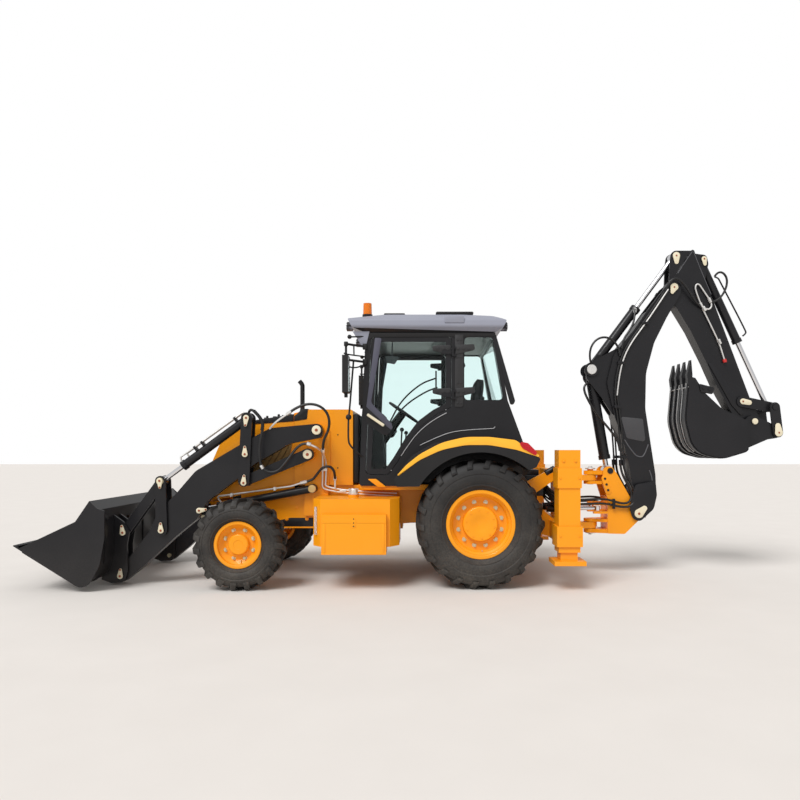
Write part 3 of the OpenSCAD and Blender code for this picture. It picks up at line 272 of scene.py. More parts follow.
GLASS = clear_finish("pane_glass", (0.86, 0.97, 0.96, 1), 0.0, 1.0, 1.2)
AMBER_LENS = clear_finish("amber_lens", (0.95, 0.24, 0.01, 1), 0.15, 0.35)
RED_LENS = clear_finish("red_lens", (0.6, 0.01, 0.02, 1), 0.12, 0.25)
CLEAR_LENS = clear_finish("clear_lens", (0.9, 0.92, 0.95, 1), 0.05, 0.7)
MIRROR = finish("mirror_glass", (0.85, 0.88, 0.9, 1), (0.85, 0.88, 0.9, 1), 0.03, dust=0.0, metallic=1.0,
                bump=0.0)
print("materials in the file:", len(bpy.data.materials))


# %% [markdown]
# Seat cloth is a weave. A picture of cloth would do, but two crossed wave patterns make the threads
# at any size without a file. They drive a Bump and a small change of colour.


# %% Seat cloth
THREADS = 160


def build_cloth():
    material = bpy.data.materials.new("seat_cloth")
    material.use_nodes = True
    tree = material.node_tree
    shader = tree.nodes["Principled BSDF"]
    shader.inputs["Roughness"].default_value = 0.9
    place = add_node(tree, "ShaderNodeTexCoord")
    threads = []
    for direction in ("X", "Y"):
        wave = add_node(tree, "ShaderNodeTexWave", bands_direction=direction)
        wave.inputs["Scale"].default_value = THREADS
        tree.links.new(place.outputs["Object"], wave.inputs["Vector"])
        threads.append(wave.outputs["Fac"])
    weave = math_node(tree, "MULTIPLY", threads[0], threads[1])
    colour = mix_colour(tree, weave, (0.02, 0.02, 0.022, 1), (0.06, 0.06, 0.065, 1))
    tree.links.new(colour, shader.inputs["Base Color"])
    relief = add_node(tree, "ShaderNodeBump")
    relief.inputs["Strength"].default_value = 0.4
    relief.inputs["Distance"].default_value = 0.001
    tree.links.new(weave, relief.inputs["Height"])
    tree.links.new(relief.outputs[0], shader.inputs["Normal"])
    return material


CLOTH = build_cloth()
print("cloth with", len(CLOTH.node_tree.nodes), "nodes")

# %% [markdown]
# The solids keep their meshes. Each could be painted by hand, but the record already names a
# material slot for every part, so a table from slot to finish paints them all in one loop.

# %% Finishes for the solids
SLOT_FINISH = {"orange": ORANGE, "black": BLACK, "rubber": RUBBER, "chrome": CHROME, "roof": ROOF,
               "glass": GLASS,
               "trim": TRIM, "seat": CLOTH, "zinc": ZINC, "lamp": AMBER_LENS}
for part in frame["record"]["subparts"]:
    node = frame["nodes"][part["node"]]
    if not node.material_slots:
        node.data.materials.append(None)
    for material_slot in node.material_slots:
        material_slot.material = SLOT_FINISH[part["material_slot"]]

# %% [markdown]
# New pieces are made with bmesh operators. Sheet parts are cut from plate, so many pieces start as
# an outline in X and Z. A corner of it may carry a third number, the radius of its rounding. The
# arc could come from a bevel later, but points worked out here keep thin plates clean.


# %% Rounded outlines
ARC_STEPS = 5


def round_corner(before, corner, after, steps=ARC_STEPS):
    """Points of the arc that rounds one corner of an outline."""
    middle = Vector(corner[:2])
    to_before = (Vector(before[:2]) - middle).normalized()
    to_after = (Vector(after[:2]) - middle).normalized()
    half = to_before.angle(to_after) / 2
    centre = middle + (to_before + to_after).normalized() * corner[2] / math.sin(half)
    start = middle + to_before * corner[2] / math.tan(half) - centre
    stop = middle + to_after * corner[2] / math.tan(half) - centre
    turn = start.angle_signed(stop)
    return [centre + Matrix.Rotation(-turn * i / steps, 2) @ start for i in range(steps + 1)]


def rounded(outline):
    points = []
    for i, corner in enumerate(outline):
        if len(corner) < 3 or corner[2] == 0:
            points.append(Vector(corner[:2]))
        else:
            points += round_corner(outline[i - 1], corner, outline[(i + 1) % len(outline)])
    return points


# %% [markdown]
# Cast and cut parts are mostly blocks and flat plates. A cube with a matrix makes a block, and an
# extruded outline makes a plate. A narrow bevel goes on the edges that catch light, since no real
# edge is perfectly sharp.


# %% Blocks and plates
FLAT = 0.99


def bevel_edges(bm, edges, width, segments=2):
    """Bevels each edge once, also when two of the faces share it."""
    once = list(dict.fromkeys(edges))
    bmesh.ops.bevel(bm, geom=once, offset=width, offset_type="OFFSET", segments=segments, profile=0.5,
                    affect="EDGES", clamp_overlap=True, material=-1)


def add_block(bm, low, high, bevel=0.0, turn=None):
    low, high = Vector(low), Vector(high)
    place = Matrix.Translation((low + high) / 2)
    if turn:
        place = place @ turn
    size = Matrix.Diagonal((*(high - low), 1))
    made = bmesh.ops.create_cube(bm, size=1.0, matrix=place @ size)
    if bevel:
        bevel_edges(bm, [e for v in made["verts"] for e in v.link_edges], bevel)
    return made["verts"]


def add_plate(bm, outline, y0, y1, bevel=0.0):
    """A flat outline in X and Z, made as thick as from y0 to y1."""
    rim = [bm.verts.new((p[0], y0, p[1])) for p in rounded(outline)]
    face = bm.faces.new(rim)
    raised = bmesh.ops.extrude_face_region(bm, geom=[face])["geom"]
    top = [g for g in raised if isinstance(g, bmesh.types.BMVert)]
    bmesh.ops.translate(bm, verts=top, vec=(0, y1 - y0, 0))
    faces = list(dict.fromkeys(f for v in rim + top for f in v.link_faces))
    bmesh.ops.recalc_face_normals(bm, faces=faces)
    if bevel:
        caps = [f for f in faces if abs(f.normal.y) > FLAT]
        bevel_edges(bm, [e for f in caps for e in f.edges], bevel)


# %% [markdown]
# Pins, nuts and shafts are round or hexagonal bars between two places. A cone operator with a
# number of sides makes all of them. Caps, tyres and rims have curved sections, so their profile is
# spun about an axis, as on a lathe.


# %% Rods and turned shapes
WELD = 1e-5


def along_z(start, end):
    """The place and turn that lay a shape's own Z from start to end."""
    start, end = Vector(start), Vector(end)
    turn = (end - start).to_track_quat("Z", "Y").to_matrix().to_4x4()
    return Matrix.Translation((start + end) / 2) @ turn


def add_rod(bm, start, end, radius, end_radius=None, sides=20, bevel=0.0):
    start, end = Vector(start), Vector(end)
    made = bmesh.ops.create_cone(bm, cap_ends=True, segments=sides, radius1=radius,
                                 radius2=radius if end_radius is None else end_radius,
                                 depth=(end - start).length, matrix=along_z(start, end))
    if bevel:
        rims = [e for v in made["verts"] for e in v.link_edges if any(len(f.verts) > 4 for f in e.link_faces)]
        bevel_edges(bm, rims, bevel)
    return made["verts"]


def add_nut(bm, start, end, radius):
    add_rod(bm, start, end, radius, sides=6, bevel=0.002)


def add_ball(bm, place, radius):
    bmesh.ops.create_icosphere(bm, subdivisions=3, radius=radius, matrix=Matrix.Translation(place))


def add_turned(bm, profile, centre, axis, steps=48):
    """Turns an open or closed profile of (radius, height) points about an axis through centre."""
    place = Matrix.Translation(centre) @ Vector(axis).to_track_quat("Z", "Y").to_matrix().to_4x4()
    verts = [bm.verts.new(place @ Vector((radius, 0, height))) for radius, height in profile]
    edges = [bm.edges.new(pair) for pair in zip(verts, verts[1:])]
    before = set(bm.faces)
    bmesh.ops.spin(bm, geom=verts + edges, cent=centre, axis=axis, angle=2 * math.pi, steps=steps,
                   use_merge=True)
    made = [f for f in bm.faces if f not in before]
    ring = list(dict.fromkeys(v for f in made for v in f.verts))
    bmesh.ops.remove_doubles(bm, verts=ring, dist=WELD)
    made = [f for f in bm.faces if f not in before]
    bmesh.ops.recalc_face_normals(bm, faces=made)


# %% [markdown]
# Bolts hold plates and caps everywhere on the machine. A bolt here is a washer and a hexagonal head
# that stand on a surface. Most pieces come in pairs, so one helper copies a whole bmesh to the
# other side. A Mirror modifier would do that too, but a copy in the mesh is final and easy to
# measure.


# %% Bolts and mirrored copies
ACROSS_CORNERS = 1.155  # a hexagon's width over its corners, for a width of 1 across its flats


def add_bolt(bm, place, direction, across=0.024, height=0.012):
    """A hexagonal head on a washer, standing on a surface."""
    place, direction = Vector(place), Vector(direction).normalized()
    add_rod(bm, place - direction * 0.002, place + direction * 0.004, across * 0.85, sides=16)
    head = place + direction * height
    add_rod(bm, place, head, across / 2 * ACROSS_CORNERS, sides=6, bevel=0.0015)


def add_mirrored(bm):
    """A second copy of everything in the bmesh, on the machine's other side."""
    copy = bmesh.ops.duplicate(bm, geom=bm.verts[:] + bm.edges[:] + bm.faces[:])["geom"]
    verts = [g for g in copy if isinstance(g, bmesh.types.BMVert)]
    faces = [g for g in copy if isinstance(g, bmesh.types.BMFace)]
    bmesh.ops.scale(bm, vec=(1, -1, 1), verts=verts)
    bmesh.ops.reverse_faces(bm, faces=faces)


# %% [markdown]
# When a bmesh is ready it becomes an object that rides on one of the machine's bodies, unless it is a hose
# that crosses a joint, which rides on none. Smooth shading with sharp edges kept above an angle suits both
# turned and flat shapes, and tell() prints what a cell has made.

# %% From a bmesh to a piece
SHARP = math.radians(32)
NEW_PIECES = []


def tell(title):
    """Prints how many pieces and faces are new since the last call, and the box around them."""
    corners = [corner for obj in NEW_PIECES for corner in obj.bound_box]
    low = [round(min(corner[axis] for corner in corners), 3) for axis in range(3)]
    high = [round(max(corner[axis] for corner in corners), 3) for axis in range(3)]
    faces = sum(len(obj.data.polygons) for obj in NEW_PIECES)
    print(f"{title}: {len(NEW_PIECES)} pieces, {faces} faces, from {low} to {high}")
    NEW_PIECES.clear()


def piece(name, bm, material, body="machine", stands_for=(), bends=None):
    """One object. bends is (one body, another, start, end), for a hose that crosses a joint: only whether it
    is given is read, its values are not used, and the piece then rides on no body.
    """
    mesh = bpy.data.meshes.new(name)
    bm.to_mesh(mesh)
    bm.free()
    mesh.materials.append(material)
    mesh.shade_smooth()
    mesh.set_sharp_from_angle(angle=SHARP)
    obj = bpy.data.objects.new(name, mesh)
    bpy.context.scene.collection.objects.link(obj)
    if bends:
        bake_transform(obj)
    else:
        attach(obj, body)
    if stands_for:
        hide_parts(*stands_for)
    NEW_PIECES.append(obj)
    return obj


def pair(name, bm, material, body="machine"):
    """A piece with a second copy of its shapes on the machine's other side."""
    add_mirrored(bm)
    return piece(name, bm, material, body)


# %% [markdown]
# Pipes and hoses follow a curve. A pipe has straight runs and short bends, and a hose one long easy
# curve, so both are Bezier or NURBS curves with a round bevel, made a mesh once they are shaped.


# %% Pipes and hoses
RING_STEPS = 3
CURVE_STEPS = 8


def at(y, *places):
    """Points that share one y, from pairs of x and z."""
    return [(x, y, z) for x, z in places]


def tubes(name, routes, radius, material, body="machine", mirrored=False, order=3, bends=None):
    data = bpy.data.curves.new(name, "CURVE")
    data.dimensions = "3D"
    data.bevel_depth = radius
    data.bevel_resolution = RING_STEPS
    data.use_fill_caps = True
    sides = (1, -1) if mirrored else (1,)
    for route in routes:
        for side in sides:
            spline = data.splines.new("NURBS")
            spline.points.add(len(route) - 1)
            for point, place in zip(spline.points, route):
                point.co = (place[0], place[1] * side, place[2], 1)
            spline.order_u = min(order, len(route))
            spline.use_endpoint_u = True
            spline.resolution_u = CURVE_STEPS
    holder = bpy.data.objects.new(name + "_line", data)
    mesh = bpy.data.meshes.new_from_object(holder)
    bpy.data.objects.remove(holder)
    bm = bmesh.new()
    bm.from_mesh(mesh)
    bpy.data.meshes.remove(mesh)
    bmesh.ops.remove_doubles(bm, verts=bm.verts, dist=WELD)
    bmesh.ops.recalc_face_normals(bm, faces=bm.faces)
    return piece(name, bm, material, body, bends=bends)


# %% [markdown]
# Small parts lie on the CAD solids. Their places could be typed, but then they would float or sink
# when a solid changes. So a line from outside is followed until it meets a solid, and a cap or a
# bolt starts there.


# %% Meeting a surface
SEARCH_TREES = {}
OUTSIDE_Y = -1.4


def meet(nodes, start, direction):
    """The first place where a line from start meets one of the named solids."""
    hits = []
    for name in nodes.split():
        if name not in SEARCH_TREES:
            mesh = frame["nodes"][name].data
            SEARCH_TREES[name] = BVHTree.FromPolygons([v.co for v in mesh.vertices],
                                                      [f.vertices for f in mesh.polygons])
        place, _, _, distance = SEARCH_TREES[name].ray_cast(Vector(start), Vector(direction))
        if place is not None:
            hits.append((distance, place))
    return min(hits, key=lambda hit: hit[0])[1] if hits else None


def side_face(nodes, x, z, start=OUTSIDE_Y):
    """How far out towards the near side a solid reaches at (x, z)."""
    return meet(nodes, (x, start, z), (0, 1, 0)).y


# %% [markdown]
# A tyre is a carcass with rubber lugs on it. The carcass could be a torus, but a profile that is
# turned about the axle gives the bead, the steps on the sidewall and the flat crown. It runs from
# one bead up the sidewall and over the crown.

# %% Tyre carcass
LUG_HEIGHT = 0.03
LUG_SLICES = 6
FRONT = {"x": -1.892, "y": 0.95, "radius": 0.46, "width": 0.35, "bead": 0.216, "bead_width": 0.27}
REAR = {"x": 0.543, "y": 0.82, "radius": 0.657, "width": 0.49, "bead": 0.324, "bead_width": 0.4}


def carcass_profile(wheel):
    """(radius, height) points from the inner bead over the crown to the outer one."""
    half = wheel["width"] / 2
    crown = wheel["radius"] - LUG_HEIGHT
    wall = crown - wheel["bead"]
    bead_half = wheel["bead_width"] / 2 - 0.006
    side = [(wheel["bead"] + 0.012, bead_half - 0.03), (wheel["bead"] + 0.002, bead_half - 0.012),
            (wheel["bead"] + 0.03, bead_half + 0.001), (wheel["bead"] + wall * 0.2, half - 0.026),
            (wheel["bead"] + wall * 0.24, half - 0.013), (wheel["bead"] + wall * 0.28, half - 0.014),
            (wheel["bead"] + wall * 0.31, half - 0.008), (wheel["bead"] + wall * 0.42, half - 0.002),
            (wheel["bead"] + wall * 0.55, half - 0.002), (wheel["bead"] + wall * 0.6, half - 0.006),
            (wheel["bead"] + wall * 0.63, half - 0.002), (wheel["bead"] + wall * 0.72, half - 0.006),
            (crown - 0.035, half - 0.022), (crown - 0.012, half - 0.048), (crown - 0.002, half * 0.55),
            (crown, 0)]
    return [(r, -h) for r, h in side] + [(r, h) for r, h in reversed(side[:-1])]


# %% [markdown]
# Lugs bite into soft ground and throw the mud out at the sides. A lug is a bar cut into slices
# along its length, and each corner of a slice lies on the crown or goes over the shoulder. An Array
# with a Curve modifier could bend bars too, but slices give full control of the taper and the wear.


# %% Tyre lugs
FLAT_SHARE = 0.55
SHOULDER_DROP = 0.05
SUNK = -0.012
TOP_SHARE = 0.8


def crown_radius(wheel, across):
    """The carcass's radius at a place across the tread."""
    half = wheel["width"] / 2
    crown = wheel["radius"] - LUG_HEIGHT
    over = max(0.0, (abs(across) - half * FLAT_SHARE) / (half * (1 - FLAT_SHARE)))
    return crown - SHOULDER_DROP * over ** 2.6


def add_lug(bm, wheel, centre, side, angle, lug):
    """One bar, bent onto the tread: from near the middle line out over the shoulder."""
    half = wheel["width"] / 2
    slices = []
    for i in range(LUG_SLICES + 1):
        share = i / LUG_SLICES
        across = half * (lug["from"] + (lug["to"] - lug["from"]) * share)
        ground = crown_radius(wheel, across)
        worn = 1 - 0.55 * max(0, share - 0.8) / 0.2
        corners = []
        for height, narrow in ((SUNK, 1.0), (LUG_HEIGHT * worn, TOP_SHARE)):
            radius = ground + height
            for way in (-1, 1):
                wide = lug["wide"] * (1 + lug["flare"] * share) * narrow
                turn = angle + lug["slant"] * share ** 0.85 + way * wide / 2 / radius
                place = Vector((radius * math.cos(turn), side * across, radius * math.sin(turn)))
                corners.append(bm.verts.new(Vector(centre) + place))
        slices.append((corners[0], corners[1], corners[3], corners[2]))
    faces = [bm.faces.new(slices[0]), bm.faces.new(slices[-1])]
    for near, far in zip(slices, slices[1:]):
        for i in range(4):
            faces.append(bm.faces.new((near[i], near[i - 1], far[i - 1], far[i])))
    bmesh.ops.recalc_face_normals(bm, faces=faces)
    rims = [e for f in faces for e in f.edges if e.calc_face_angle(0) > 0.7]
    bevel_edges(bm, rims, 0.004, segments=1)


# %% [markdown]
# Both tyre sizes have slanted bars that meet in a V, with as many bars on each flank. The opposite
# flank starts half a pitch later, so the tyre always stands on one bar. The new tyres stand for the
# plain ones of the solids.

# %% Four tyres
REAR_LUG = {"from": -0.06, "to": 0.99, "wide": 0.052, "flare": 0.25, "slant": 0.2, "count": 22}
FRONT_LUG = {"from": -0.1, "to": 0.99, "wide": 0.052, "flare": 0.3, "slant": 0.17, "count": 19}


def dress_tyre(name, wheel, lug, side):
    centre = (wheel["x"], side * wheel["y"], wheel["radius"])
    bm = bmesh.new()
    add_turned(bm, carcass_profile(wheel), centre, (0, 1, 0), steps=96)
    pitch = 2 * math.pi / lug["count"]
    for flank in (1, -1):
        for i in range(lug["count"]):
            offset = 0 if flank == 1 else pitch / 2
            add_lug(bm, wheel, centre, flank, i * pitch + offset, lug)
    piece(name + "_rubber", bm, RUBBER, name.replace("tyre", "wheel"), stands_for=(name,))


for end, wheel, lug in (("front", FRONT, FRONT_LUG), ("rear", REAR, REAR_LUG)):
    for hand, side in (("left", -1), ("right", 1)):
        dress_tyre(f"tyre_{end}_{hand}", wheel, lug, side)
tell("tyres")

# %% [markdown]
# A steel wheel is a rolled rim with a dished disc welded inside and a hub bolted through it. The
# rim's lips roll outwards, which catches light as a bright ring. A profile turned about the axle
# gives the lips and the dish in one closed section, where stacked cylinders would show seams.

# %% Wheel profiles
RIM_SHAPE = {
    "front": {"lip": 0.238, "bead": 0.214, "half": 0.135, "disc": 0.06, "hub": 0.106, "hub_out": 0.11,
              "hub_bolts": 1, "nuts": 8, "nut_circle": 0.15, "nut": 0.026},
    "rear": {"lip": 0.35, "bead": 0.322, "half": 0.2, "disc": 0.09, "hub": 0.18, "hub_out": 0.152,
             "hub_bolts": 10, "nuts": 12, "nut_circle": 0.226, "nut": 0.027}}


def rim_profile(shape):
    lip, bead, half, disc = shape["lip"], shape["bead"], shape["half"], shape["disc"]
    return [(bead - 0.008, -half), (lip - 0.004, -half), (lip, -half + 0.004), (lip - 0.002, -half + 0.009),
            (bead + 0.004, -half + 0.01), (bead, -half + 0.014), (bead, -half + 0.04), (bead - 0.022,
                                                                                          -half + 0.06),
            (bead - 0.022, half - 0.06), (bead, half - 0.04), (bead, half - 0.014), (bead + 0.004,
                                                                                       half - 0.01),
            (lip - 0.002, half - 0.009), (lip, half - 0.004), (lip - 0.004, half), (bead - 0.004,
                                                                                    half + 0.001),
            (bead - 0.01, half - 0.004), (bead - 0.012, half - 0.042), (bead - 0.034, half - 0.062),
            (bead - 0.036, disc + 0.012), (bead - 0.048, disc), (shape["hub"] + 0.045, disc - 0.004),
            (shape["hub"] + 0.03, disc + 0.002), (shape["hub"] - 0.02, disc + 0.002)]


def hub_profile(shape):
    hub, out, disc = shape["hub"], shape["hub_out"], shape["disc"]
    return [(hub + 0.002, disc - 0.02), (hub + 0.002, out - 0.03), (hub - 0.002, out - 0.022),
            (hub - 0.006, out - 0.006),
            (hub - 0.014, out), (hub * 0.45, out + 0.002), (hub * 0.42, out - 0.001), (0.0001, out - 0.001)]


# %% [markdown]
# Wheel nuts stand in a circle on the disc, each with the end of its stud, and the hub has its own
# smaller bolts. A rotation about the axle places each of them. The nuts are a piece of their own
# because they are plated and not painted.


# %% Four wheels
def dress_rim(end, wheel, shape, hand, side):
    centre = Vector((wheel["x"], side * wheel["y"], wheel["radius"]))
    outward = Vector((0, side, 0))
    bm = bmesh.new()
    add_turned(bm, rim_profile(shape), centre, outward, steps=72)
    add_turned(bm, hub_profile(shape), centre, outward, steps=48)
    add_rod(bm, centre - outward * 0.12, centre + outward * (shape["disc"] - 0.01), shape["hub"] * 0.8,
            sides=32)
    for i in range(shape["hub_bolts"]):
        turn = Matrix.Rotation(math.radians(36 * i + 12), 3, "Y") @ Vector((1, 0, 0))
        add_bolt(bm, centre + turn * shape["hub"] * 0.8 + outward * (shape["hub_out"] - 0.001), outward,
                 0.014, 0.007)
    piece(f"rim_{end}_{hand}_disc", bm, ORANGE, f"wheel_{end}_{hand}", stands_for=(f"rim_{end}_{hand}",))
    bm = bmesh.new()
    for i in range(shape["nuts"]):
        turn = Matrix.Rotation(2 * math.pi * (i + 0.5) / shape["nuts"], 3, "Y") @ Vector((1, 0, 0))
        seat = centre + turn * shape["nut_circle"] + outward * (shape["disc"] - 0.003)
        add_bolt(bm, seat, outward, shape["nut"], 0.022)
        add_rod(bm, seat, seat + outward * 0.034, shape["nut"] * 0.3, sides=10)
    down = centre + Vector((0.02, 0, -shape["bead"] + 0.047))
    add_rod(bm, down + outward * (shape["disc"] + 0.001), down + outward * (shape["disc"] + 0.045), 0.006,
            sides=10)
    piece(f"rim_{end}_{hand}_nuts", bm, ZINC, f"wheel_{end}_{hand}")


for end, wheel in (("front", FRONT), ("rear", REAR)):
    for hand, side in (("left", -1), ("right", 1)):
        dress_rim(end, wheel, RIM_SHAPE[end], hand, side)
tell("wheels")

# %% [markdown]
# The hood is a sheet cover. Its side has a large mesh vent so that hot air leaves the radiator, and
# a black cap protects its top. The vent's mesh is a plate whose finish has rows of small dark
# holes, which is far lighter than cutting thousands of real ones.


# %% Vent mesh finish
HOLE_SCALE = 110


def build_vent_mesh():
    material = bpy.data.materials.new("vent_mesh")
    material.use_nodes = True
    tree = material.node_tree
    shader = tree.nodes["Principled BSDF"]
    place = add_node(tree, "ShaderNodeTexCoord")
    cells = add_node(tree, "ShaderNodeTexVoronoi", feature="F1")
    cells.inputs["Scale"].default_value = HOLE_SCALE
    cells.inputs["Randomness"].default_value = 0.15
    tree.links.new(place.outputs["Object"], cells.inputs["Vector"])
    hole = math_node(tree, "SUBTRACT", 1.0, math_node(tree, "MULTIPLY", cells.outputs["Distance"], 1.9),
                     clamp=True)
    colour = mix_colour(tree, hole, (0.2, 0.115, 0.025, 1), (0.008, 0.006, 0.004, 1))
    tree.links.new(colour, shader.inputs["Base Color"])
    shader.inputs["Roughness"].default_value = 0.55
    relief = add_node(tree, "ShaderNodeBump", invert=True)
    relief.inputs["Strength"].default_value = 0.7
    relief.inputs["Distance"].default_value = 0.004
    tree.links.new(hole, relief.inputs["Height"])
    tree.links.new(relief.outputs[0], shader.inputs["Normal"])
    return material


VENT = build_vent_mesh()
print("vent mesh with", len(VENT.node_tree.nodes), "nodes")


# %% [markdown]
# Some solids wear two paints: the nose grille is black inside an orange hood. Cutting the solid in
# two would leave a seam, so the faces whose middle passes a test get a second material instead.


# %% Hood paint
HOOD_Y = 0.47


def paint_faces(name, rules):
    """Gives faces of one solid another finish: each rule is a finish and a test of the face's middle."""
    node = frame["nodes"][name]
    for material, wanted in rules:
        node.data.materials.append(material)
        number = len(node.data.materials) - 1
        for face in node.data.polygons:
            if wanted(node.matrix_world @ face.center):
                face.material_index = number


NOSE_X = -2.3605
COWL_X = -1.44
GRILLE_Z = (0.9, 1.27)
paint_faces("hood", [
    (VENT, lambda c: HOOD_Y + 0.001 < abs(c.y) and c.x < COWL_X),
    (BLACK, lambda c: c.x < NOSE_X and GRILLE_Z[0] < c.z < GRILLE_Z[1])])
EXHAUST_Z = 1.857
paint_faces("cowl", [(BLACK, lambda c: c.z > EXHAUST_Z)])
print("hood now has", len(frame["nodes"]["hood"].data.materials), "materials")

# %% [markdown]
# The slats of the hood's vent stand on a fine mesh that keeps chaff out of the radiator. A thin
# plate with the mesh finish lies behind them and shows between them.

# %% Vent backing
bm = bmesh.new()
add_plate(bm, [
    (-2.045, 1.105, 0.04), (-1.74, 1.13, 0.1), (-1.51, 1.25, 0.08), (-1.468, 1.49, 0.03),
    (-1.6, 1.57, 0.05), (-1.87, 1.43, 0.15), (-2.045, 1.25, 0.05)], -HOOD_Y - 0.0012, -HOOD_Y + 0.001)
pair("hood_vent_backing", bm, VENT, "hood")
tell("vent backing")

# %% [markdown]
# A black cap lies on the hood's sloping top, with air slats across it and three rubber stops. Its
# slats follow the slope, so their height is worked out from their place along X.

# %% Hood cap
CAP_SLOPE = 0.14
CAP_SIDE = [(-1.88, 1.69, 0.01), (-1.868, 1.735, 0.03), (-1.442, 1.8, 0.003), (-1.442, 1.722, 0.003)]
bm = bmesh.new()
for side in (1, -1):
    add_plate(bm, CAP_SIDE, side * (HOOD_Y - 0.04), side * (HOOD_Y + 0.006), 0.004)
add_plate(bm, [
    (-1.875, 1.712, 0.005), (-1.862, 1.741, 0.02), (-1.442, 1.803, 0.003), (-1.442, 1.772, 0.003)], -0.3,
    0.3, 0.006)
for x in (-1.8, -1.7, -1.6, -1.52):
    rise = (x + 1.85) * CAP_SLOPE
    add_block(bm, (x - 0.02, -0.24, 1.74 + rise), (x + 0.02, 0.24, 1.768 + rise), 0.006)
for x, y, height in ((-1.755, -0.36, 0.03), (-1.62, -0.4, 0.026), (-1.53, -0.34, 0.04)):
    top = 1.742 + (x + 1.862) * 0.148
    add_rod(bm, (x, y, top - 0.02), (x, y, top + height), 0.018, 0.012, sides=16, bevel=0.003)
piece("hood_top_cap", bm, BLACK, "hood")
tell("hood cap")

# %% [markdown]
# The nose's headlamps have clear lenses with a reflector behind them, and a latch holds the hood
# down. A lamp could be one glowing disc, but a bright disc behind a clear one looks like glass.

# %% Nose
LAMP_FACE_X = -2.386
HEAD_Y, HEAD_Z, HEAD_R = 0.372, 1.1, 0.064
bm = bmesh.new()
add_rod(bm, (LAMP_FACE_X + 0.001, HEAD_Y, HEAD_Z), (LAMP_FACE_X - 0.0015, HEAD_Y, HEAD_Z), HEAD_R, sides=32)
pair("headlamp_reflectors", bm, CHROME, "hood")
bm = bmesh.new()
add_rod(bm, (LAMP_FACE_X - 0.0018, HEAD_Y, HEAD_Z), (LAMP_FACE_X - 0.009, HEAD_Y, HEAD_Z), HEAD_R, 0.05,
        sides=32,
        bevel=0.003)
pair("headlamp_lenses", bm, CLEAR_LENS, "hood")
bm = bmesh.new()
add_block(bm, (-2.372, -0.035, 1.262), (-2.352, 0.035, 1.3), 0.005)
add_rod(bm, (-2.372, 0, 1.281), (-2.378, 0, 1.281), 0.012, sides=20, bevel=0.002)
piece("hood_latch", bm, BLACK, "hood")
tell("nose")

# %% [markdown]
# The cowl behind the hood is fixed to the chassis, and a rubber strip closes its joint with the
# cab. Both are simple: two studs on each side and one block that fills the gap.

# %% Cowl studs and seal
COWL_Y = 0.49
bm = bmesh.new()
for z in (1.575, 1.215):
    add_rod(bm, (-0.961, -COWL_Y + 0.002, z), (-0.961, -COWL_Y - 0.003, z), 0.008, 0.006, sides=16)
pair("cowl_studs", bm, TRIM)
bm = bmesh.new()
add_block(bm, (-0.797, -0.47, 1.05), (-0.735, 0.47, 1.8), 0.01)
piece("cowl_seal", bm, TRIM)
tell("cowl studs and seal")

# %% [markdown]
# The black cap goes on over the cowl's front edge, and orange skirts close the engine bay below the
# hood. They are bent sheet on the machine, and thin plates stand for it here.

# %% Cowl cap and skirts
COWL_CAP = [(-1.434, 1.722, 0.003), (-1.434, 1.776, 0.002), (-1.345, 1.857, 0.03), (-1.283, 1.857, 0.003),
            (-1.296, 1.745, 0.01)]
bm = bmesh.new()
for side in (1, -1):
    add_plate(bm, COWL_CAP, side * (COWL_Y - 0.002), side * (COWL_Y + 0.005), 0.002)
add_block(bm, (-1.345, -COWL_Y, 1.848), (-1.283, COWL_Y, 1.8565), 0.002)
piece("cowl_top_cap", bm, BLACK)
SKIRT_Y = 0.452
bm = bmesh.new()
add_plate(bm, [
    (-2.02, 0.868, 0.02), (-2.02, 1.05, 0.03), (-1.436, 1.2, 0.003), (-1.436, 0.868, 0.003)], -SKIRT_Y,
    -SKIRT_Y + 0.006, 0.001)
pair("engine_skirt", bm, ORANGE)
tell("cowl cap and skirts")

# %% [markdown]
# The exhaust pipe leaves the cowl through a flange, with a clamp ring above it. The flange has a
# curved section, so it is turned.

# %% Exhaust collar
EXHAUST_X, EXHAUST_Y = -1.385, -0.25
bm = bmesh.new()
add_turned(bm, [(0.027, 0), (0.045, 0.002), (0.045, 0.01), (0.03, 0.014), (0.027, 0.04)],
           (EXHAUST_X, EXHAUST_Y, 1.825), (0, 0, 1), 32)
add_rod(bm, (EXHAUST_X, EXHAUST_Y, 1.9), (EXHAUST_X, EXHAUST_Y, 1.915), 0.031, sides=32, bevel=0.002)
piece("exhaust_collar", bm, BLACK)
tell("exhaust collar")

# %% [markdown]
# The left tank carries a box for tools. Its lid has a latch plate with three studs and a folded
# edge. They lie almost flat on the lid, so shallow plates are enough to catch a line of light.

# %% Tool box
BOX_Y = -1.145
bm = bmesh.new()
add_block(bm, (-0.75, BOX_Y - 0.0035, 0.64), (-0.704, BOX_Y + 0.001, 0.735), 0.0015)
piece("toolbox_latch", bm, ORANGE)
bm = bmesh.new()
for z in (0.727, 0.688, 0.655):
    add_rod(bm, (-0.727, BOX_Y, z), (-0.727, BOX_Y - 0.0047, z), 0.008, 0.006, sides=16)
piece("toolbox_latch_studs", bm, BLACK)
bm = bmesh.new()
add_plate(bm, [
    (-1.05, 0.372, 0.01), (-1.05, 0.388, 0.004), (-0.404, 0.388, 0.004), (-0.404, 0.372, 0.01)],
    BOX_Y - 0.003, BOX_Y + 0.04, 0.002)
for x in (-1.02, -0.434):
    add_block(bm, (x - 0.012, BOX_Y - 0.004, 0.39), (x + 0.012, BOX_Y + 0.002, 0.68), 0.002)
piece("toolbox_edge", bm, ORANGE)
tell("tool box")

# %% [markdown]
# The fuel filler stands on the tank with a ribbed cap that a gloved hand can turn, and a clear
# sight glass shows the level. The cap is turned, and six rods round it make its ribs.

